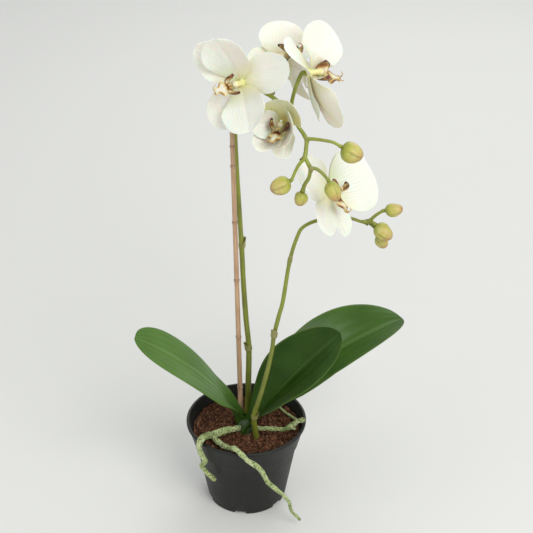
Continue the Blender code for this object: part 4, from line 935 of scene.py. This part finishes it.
def makeLeaf(name, leaf, material, seed):
    # the midrib climbs and arches; across it the two halves fold up like a V, more towards the base, where the
    # blade narrows into a thick folded sheath that runs down into the crown
    stations = np.linspace(0, 1, 161)
    climb = np.radians(leaf["climb"][0] + (leaf["climb"][1] - leaf["climb"][0]) * stations ** leaf["ease"])
    heading = math.radians(leaf["heading"])
    flat = np.array([math.cos(heading), math.sin(heading), 0.0])
    way = np.cos(climb)[:, None] * flat + np.sin(climb)[:, None] * np.array([0, 0, 1.0])
    step = (way[1:] + way[:-1]) / 2 / 160 * leaf["length"] * mm
    blade = fromMix(leaf["base"]) + np.vstack([[0, 0, 0], np.cumsum(step, axis=0)])
    root = fromMix(leaf["root"])
    t = np.linspace(0, 1, 30, endpoint=False)[:, None]
    knee = blade[0] - way[0] * 0.6 * np.linalg.norm(blade[0] - root)
    sheath = (1 - t) ** 2 * root + 2 * t * (1 - t) * knee + t ** 2 * blade[0]
    midrib = np.vstack([sheath, blade])
    length = lengthAlong(midrib)
    bladeStart = length[30] / length[-1]
    rows, columns = leafSkin["rows"], leafSkin["columns"] + 1
    share = 1 - (1 - np.linspace(0, 1, rows)) ** 1.25
    marks = share * length[-1]
    place = np.stack([np.interp(marks, length, midrib[:, k]) for k in range(3)], 1)
    tangent = unit(np.gradient(place, axis=0))
    across = np.array([-math.sin(heading), math.cos(heading), 0.0])
    upward = np.cross(tangent, across)
    u = np.clip((share - bladeStart) / (1 - bladeStart), 0, 1)
    roll = np.radians(leaf["roll"][0] + (leaf["roll"][1] - leaf["roll"][0]) * u)[:, None]
    side = np.cos(roll) * across + np.sin(roll) * upward
    normal = np.cos(roll) * upward - np.sin(roll) * across
    widest = leafSkin["widest"]
    swell = 0.26 + 0.74 * np.sin(np.pi / 2 * np.clip(u / widest, 0, 1)) ** 1.3
    tip = np.clip((u - widest) / (1 - widest), 0, 1)
    half = np.maximum(leaf["width"] / 2 * mm * swell * np.sqrt(1 - tip ** leaf["blunt"]), 0.5 * mm)
    nearBase = np.clip(1.5 - share / bladeStart * 0.75, 0, 1)
    half = half + np.clip(leafSkin["sheathHalf"] * mm - half, 0, None) * nearBase ** 1.5
    fold = leaf["fold"] + (leafSkin["sheathFold"] - leaf["fold"]) * np.clip(1 - u / 0.3, 0, 1) ** 1.5
    fold = np.radians(fold * (1 - 0.5 * np.clip((u - 0.5) / 0.5, 0, 1)))[:, None]
    v = np.linspace(-1, 1, columns)[None]
    v = np.sign(v) * np.abs(v) ** 0.9
    # the fold is rounded at the midrib: height = sqrt(v^2 + soft^2) - soft in place of |v|
    soft = leafSkin["softFold"]
    vee = np.sqrt(v * v + soft * soft) - soft
    nearTip = 1 - 0.6 * share[:, None] ** 10
    rng = np.random.default_rng(60 + seed)
    phase = rng.uniform(0, 6, 3)
    wave = leafSkin["edgeWave"] * mm * np.abs(v) ** 2 * np.sin(7 * u[:, None] + phase[0] + np.sign(v))
    wave = wave * u[:, None] ** 0.5
    swollen = 0.05 * half[:, None] * (1 - v * v) * np.cos(fold) * u[:, None]
    ribs = leafSkin["ribHeight"] * mm * np.cos(v * 22 + 0.6 * np.sin(5 * u[:, None]))
    ribs = ribs * np.clip(u[:, None] * 3, 0, 1) * (1 - np.abs(v) ** 4)
    spread = v * half[:, None] * np.cos(fold)
    lift = vee * half[:, None] * np.sin(fold) + wave + ribs - swollen * 0.3
    grid = place[:, None] + spread[..., None] * side[:, None] + lift[..., None] * normal[:, None]
    extra = leafSkin["sheathThickness"] - leafSkin["thickness"]
    thick = leafSkin["thickness"] + extra * np.clip(1 - u / 0.16, 0, 1) ** 2
    thick = thick[:, None] * (1 + 0.5 * np.exp(-(v / 0.08) ** 2) - 0.68 * np.abs(v) ** 6) * nearTip
    tone = np.clip(leaf["tone"] + 0.10 * ripples(grid, 0.04, seed), 0, 1)
    addPiece(sheetPart(grid, thick * mm, tone), material, name)


def crownMaterial():
    material, tree, shader = newMaterial("crownGreen", Roughness=0.5, Coat_Weight=0.1, Coat_Roughness=0.3)
    where = objectPlace(tree)
    height = heightOf(tree, where)
    level = times(tree, calc(tree, "SUBTRACT", height, soilTop - 0.002), 70.0)
    patch = noise(tree, where, 130, 5, 0.6)
    base = ramp(tree, plus(tree, level, times(tree, patch, 0.3)), (0.10, (0.034, 0.026, 0.008)),
                (0.30, (0.020, 0.038, 0.004)), (0.95, (0.018, 0.052, 0.003)))
    base = mixColour(tree, ramp(tree, patch, (0.5, 0.0), (0.75, 0.4)), base, (0.060, 0.085, 0.014))
    link(tree, shader, Base_Color=base)
    addBump(tree, shader, patch, 0.4, 0.001)
    return material


def makeCrown():
    # a stub of overlapping leaf bases: radius follows a bell up the stem, ridged by the folds of the sheaths
    rows, sides = 60, 96
    z = np.linspace(crown["heights"][0], crown["heights"][-1], rows)
    a = np.linspace(0, 2 * np.pi, sides, endpoint=False)
    bell = np.interp(z, crown["heights"], crown["radii"])
    fold = crown["ridges"] * np.abs(np.sin(1.5 * a[None] + 0.06 * z[:, None]))
    fold = fold + crown["wrinkles"] * np.cos(9 * a[None] + 0.1 * z[:, None])
    radius = (bell[:, None] + fold * (bell[:, None] / 8)) * mm
    radius[[0, -1]] *= 0.3
    grid = np.stack([radius * 1.12 * np.cos(a), radius * 0.94 * np.sin(a) - 3 * mm,
                     np.repeat((soilTop + z * mm)[:, None], sides, 1)], -1)
    part = dict(points=grid.reshape(-1, 3), faces=ringFaces(rows, sides))
    addPiece(part, crownMaterial(), "plant_crown")


roots = dict(radius=3.3, wander=0.35, lumps=0.10, bumps=0.05, sides=24)


def overRim(angle, past, above):
    # by compass angle, millimetres past the rim and above it
    a, r = math.radians(angle), (pot["rim"] + past) * mm
    return np.array([r * math.cos(a), r * math.sin(a), (pot["height"] + above) * mm])


def onMix(angle, share, above):
    # by compass angle, share of the rim's radius, and millimetres above the mix
    a, r = math.radians(angle), pot["rim"] * share * mm
    return np.array([r * math.cos(a), r * math.sin(a), soilTop + above * mm])


def rootMaterial():
    material, tree, shader = newMaterial("rootSkin", Roughness=0.62, Specular_IOR_Level=0.3,
                                         Subsurface_Weight=0.08, Subsurface_Scale=0.002)
    where = objectPlace(tree)
    patch = noise(tree, where, 60, 5, 0.6)
    speck = noise(tree, where, 520, 3, 0.6)
    cells = addNode(tree, "ShaderNodeTexVoronoi", {"Vector": where, "Scale": 620.0}).outputs["Distance"]
    base = ramp(tree, patch, (0.28, (0.270, 0.365, 0.110)), (0.5, (0.480, 0.580, 0.250)),
                (0.72, (0.70, 0.76, 0.47)))
    base = mixColour(tree, ramp(tree, speck, (0.51, 0.0), (0.61, 0.85)), base, (0.115, 0.150, 0.050))
    base = mixColour(tree, attribute(tree, "marks"), base, (0.130, 0.090, 0.040))
    link(tree, shader, Base_Color=base)
    addBump(tree, shader, plus(tree, times(tree, cells, 120.0), plus(tree, patch, speck)), 0.5, 0.0009)
    return material


def rootPart(points, start, end, seed):
    # a tube whose radius follows its thinning, soft lumps and small random swellings
    path = smoothPath(points, 12)
    path = evenPath(path, max(40, int(lengthAlong(path)[-1] / (0.9 * mm))))
    path = path + roots["wander"] * mm * np.stack([ripples(path, 0.012, seed + k, 6) for k in range(3)], 1)
    share = np.linspace(0, 1, len(path))
    swellings = roots["lumps"] * ripples(path, 0.014, seed + 5) + roots["bumps"] * ripples(path, 0.005, seed + 6)
    radii = (start + (end - start) * share ** 2) * mm * (1 + swellings)
    a = np.linspace(0, 2 * np.pi, roots["sides"], endpoint=False)
    lumps = 1 + 0.06 * np.sin(2 * a[None] + 40 * share[:, None]) * np.sin(90 * share[:, None] + 3 * a[None])
    radii = radii[:, None] * lumps
    near = np.clip(lengthAlong(path)[-1] - lengthAlong(path), 0, None)
    reach = end * 1.3 * mm
    radii = radii * np.sqrt(np.clip(1 - np.clip(1 - near / reach, 0, 1) ** 2, 0.02, 1))[:, None]
    radii[0] *= 0.5
    return tubePart(path, radii, roots["sides"], (np.exp(-near / (4 * mm)) * 0.5)[:, None])


def makeRoots():
    r = roots["radius"]
    material = rootMaterial()
    fork = overRim(211, -21.5, -6.5)
    left = [onMix(225, 0.10, 2.0), onMix(218, 0.22, 4.2), onMix(209, 0.42, 4.2), fork, overRim(222, -5, 4.6),
            overRim(225, 3.5, 2.5), overRim(225, 3.6, -5), overRim(226, 1.6, -13), overRim(228, 0.6, -20),
            overRim(224, 0.8, -28), overRim(229, -2.5, -36), overRim(236, -6.5, -45)]
    branch = [onMix(209, 0.42, 4.2), fork, overRim(235, -18, -7), overRim(253, -13, -4), overRim(261, -3, 4.4),
              overRim(270, 5.5, 0), overRim(281, 8.5, -10), overRim(286.5, 9.5, -24), overRim(291, 10.5, -33),
              overRim(299, 12.5, -45), overRim(304.5, 14.5, -57), overRim(307, 14.5, -69), overRim(313, 19, -84)]
    forked = joinParts([rootPart(left, r, 0.66 * r, 1), rootPart(branch, 0.9 * r, 0.42 * r, 11)])
    addPiece(forked, material, "aerial_root_left")
    knuckle = overRim(-15, -15, -3)
    right = [onMix(-60, 0.12, 1.5), onMix(-30, 0.21, 3.2), onMix(-16, 0.41, 3.2), onMix(-13, 0.62, 3.4), knuckle,
             overRim(-11, -7, 3.4), overRim(-8, -0.5, 3.5)]
    spur = [onMix(-13, 0.62, 3.4), knuckle, overRim(-15, -11, -4.5), overRim(-14, -8.5, -5)]
    spurred = joinParts([rootPart(right, 0.7 * r, 0.82 * r, 21), rootPart(spur, 0.6 * r, 0.45 * r, 31)])
    addPiece(spurred, material, "aerial_root_right")
    back = [onMix(48, 0.78, 2.4), onMix(30, 0.75, 2.4), onMix(14, 0.81, 3.0), onMix(6, 0.87, 5.0)]
    addPiece(rootPart(back, 0.36 * r, 0.45 * r, 41), material, "aerial_root_back")
    print("roots ready")


studio = dict(camera=(20.3, -1015.4, 861), pitch=30.3, lens=85, sensor=36, floor=60,
              floorTone=(0.70, 0.703, 0.69), skyTone=(0.985, 1.0, 0.985), skyStrength=0.66,
              lights={  # place, aim, size, power, tint
                  "keyLight": ((0.75, -1.25, 1.5), (0, 0, 0.25), 1.0, 21, (1.0, 0.985, 0.955)),
                  "fillLight": ((-1.4, -0.8, 1.0), (0, 0, 0.25), 1.4, 4, (0.98, 1.0, 0.99)),
                  "backLight": ((0.5, 1.5, 1.5), (0, 0, 0.3), 1.2, 12, (1.0, 1.0, 0.99))})


def makeStudio():
    scene = bpy.context.scene
    camera = bpy.data.objects.new("studioCamera", bpy.data.cameras.new("studioCamera"))
    camera.data.lens = studio["lens"]
    camera.data.sensor_width = studio["sensor"]
    camera.data.clip_start = 0.05
    camera.location = np.array(studio["camera"]) * mm
    camera.rotation_euler = (math.radians(90 - studio["pitch"]), 0, 0)
    scene.collection.objects.link(camera)
    scene.camera = camera
    bpy.ops.mesh.primitive_plane_add(size=studio["floor"])
    floor = bpy.context.object
    floor.name = "studioFloor"
    material, tree, shader = newMaterial("floorPaper", Roughness=0.85, Specular_IOR_Level=0.2)
    tone = studio["floorTone"]
    cloud = noise(tree, objectPlace(tree), 3, 2, 0.5)
    link(tree, shader, Base_Color=mixColour(tree, cloud, tone, tuple(0.985 * x for x in tone)))
    floor.data.materials.append(material)
    world = bpy.data.worlds.new("studioWorld")
    world.use_nodes = True
    sky = world.node_tree.nodes["Background"]
    sky.inputs[0].default_value = (*studio["skyTone"], 1)
    sky.inputs[1].default_value = studio["skyStrength"]
    scene.world = world
    for name, (place, aim, size, power, tint) in studio["lights"].items():
        light = bpy.data.lights.new(name, "AREA")
        light.size = size
        light.energy = power
        light.color = tint
        lamp = bpy.data.objects.new(name, light)
        lamp.location = place
        lamp.rotation_euler = (Vector(aim) - Vector(place)).to_track_quat("-Z", "Y").to_euler()
        scene.collection.objects.link(lamp)
    scene.view_settings.view_transform = "Standard"
    print("studio ready")


makeStudio()
makePot()
makeMix()
makeCane()
greenStem = stemMaterial()
makeSpike("spike_back", spikes["back"], greenStem)
makeSpike("spike_front", spikes["front"], greenStem)
print("spikes ready")
budLook = budMaterial()
for k, (name, bud) in enumerate(buds.items()):
    makeBud(name, bud, budLook, k + 1)
print("buds ready")
leafGreen = leafMaterial()
for k, (name, leaf) in enumerate(leaves.items()):
    makeLeaf(name, leaf, leafGreen, k + 1)
makeCrown()
print("leaves ready")
makeRoots()
flowerLooks = dict(petal=petalMaterial(), lip=lipMaterial(), column=columnMaterial())
for k, (name, flower) in enumerate(flowers.items()):
    makeFlower(name, flower, flowerLooks, k + 1)
print("flowers ready")
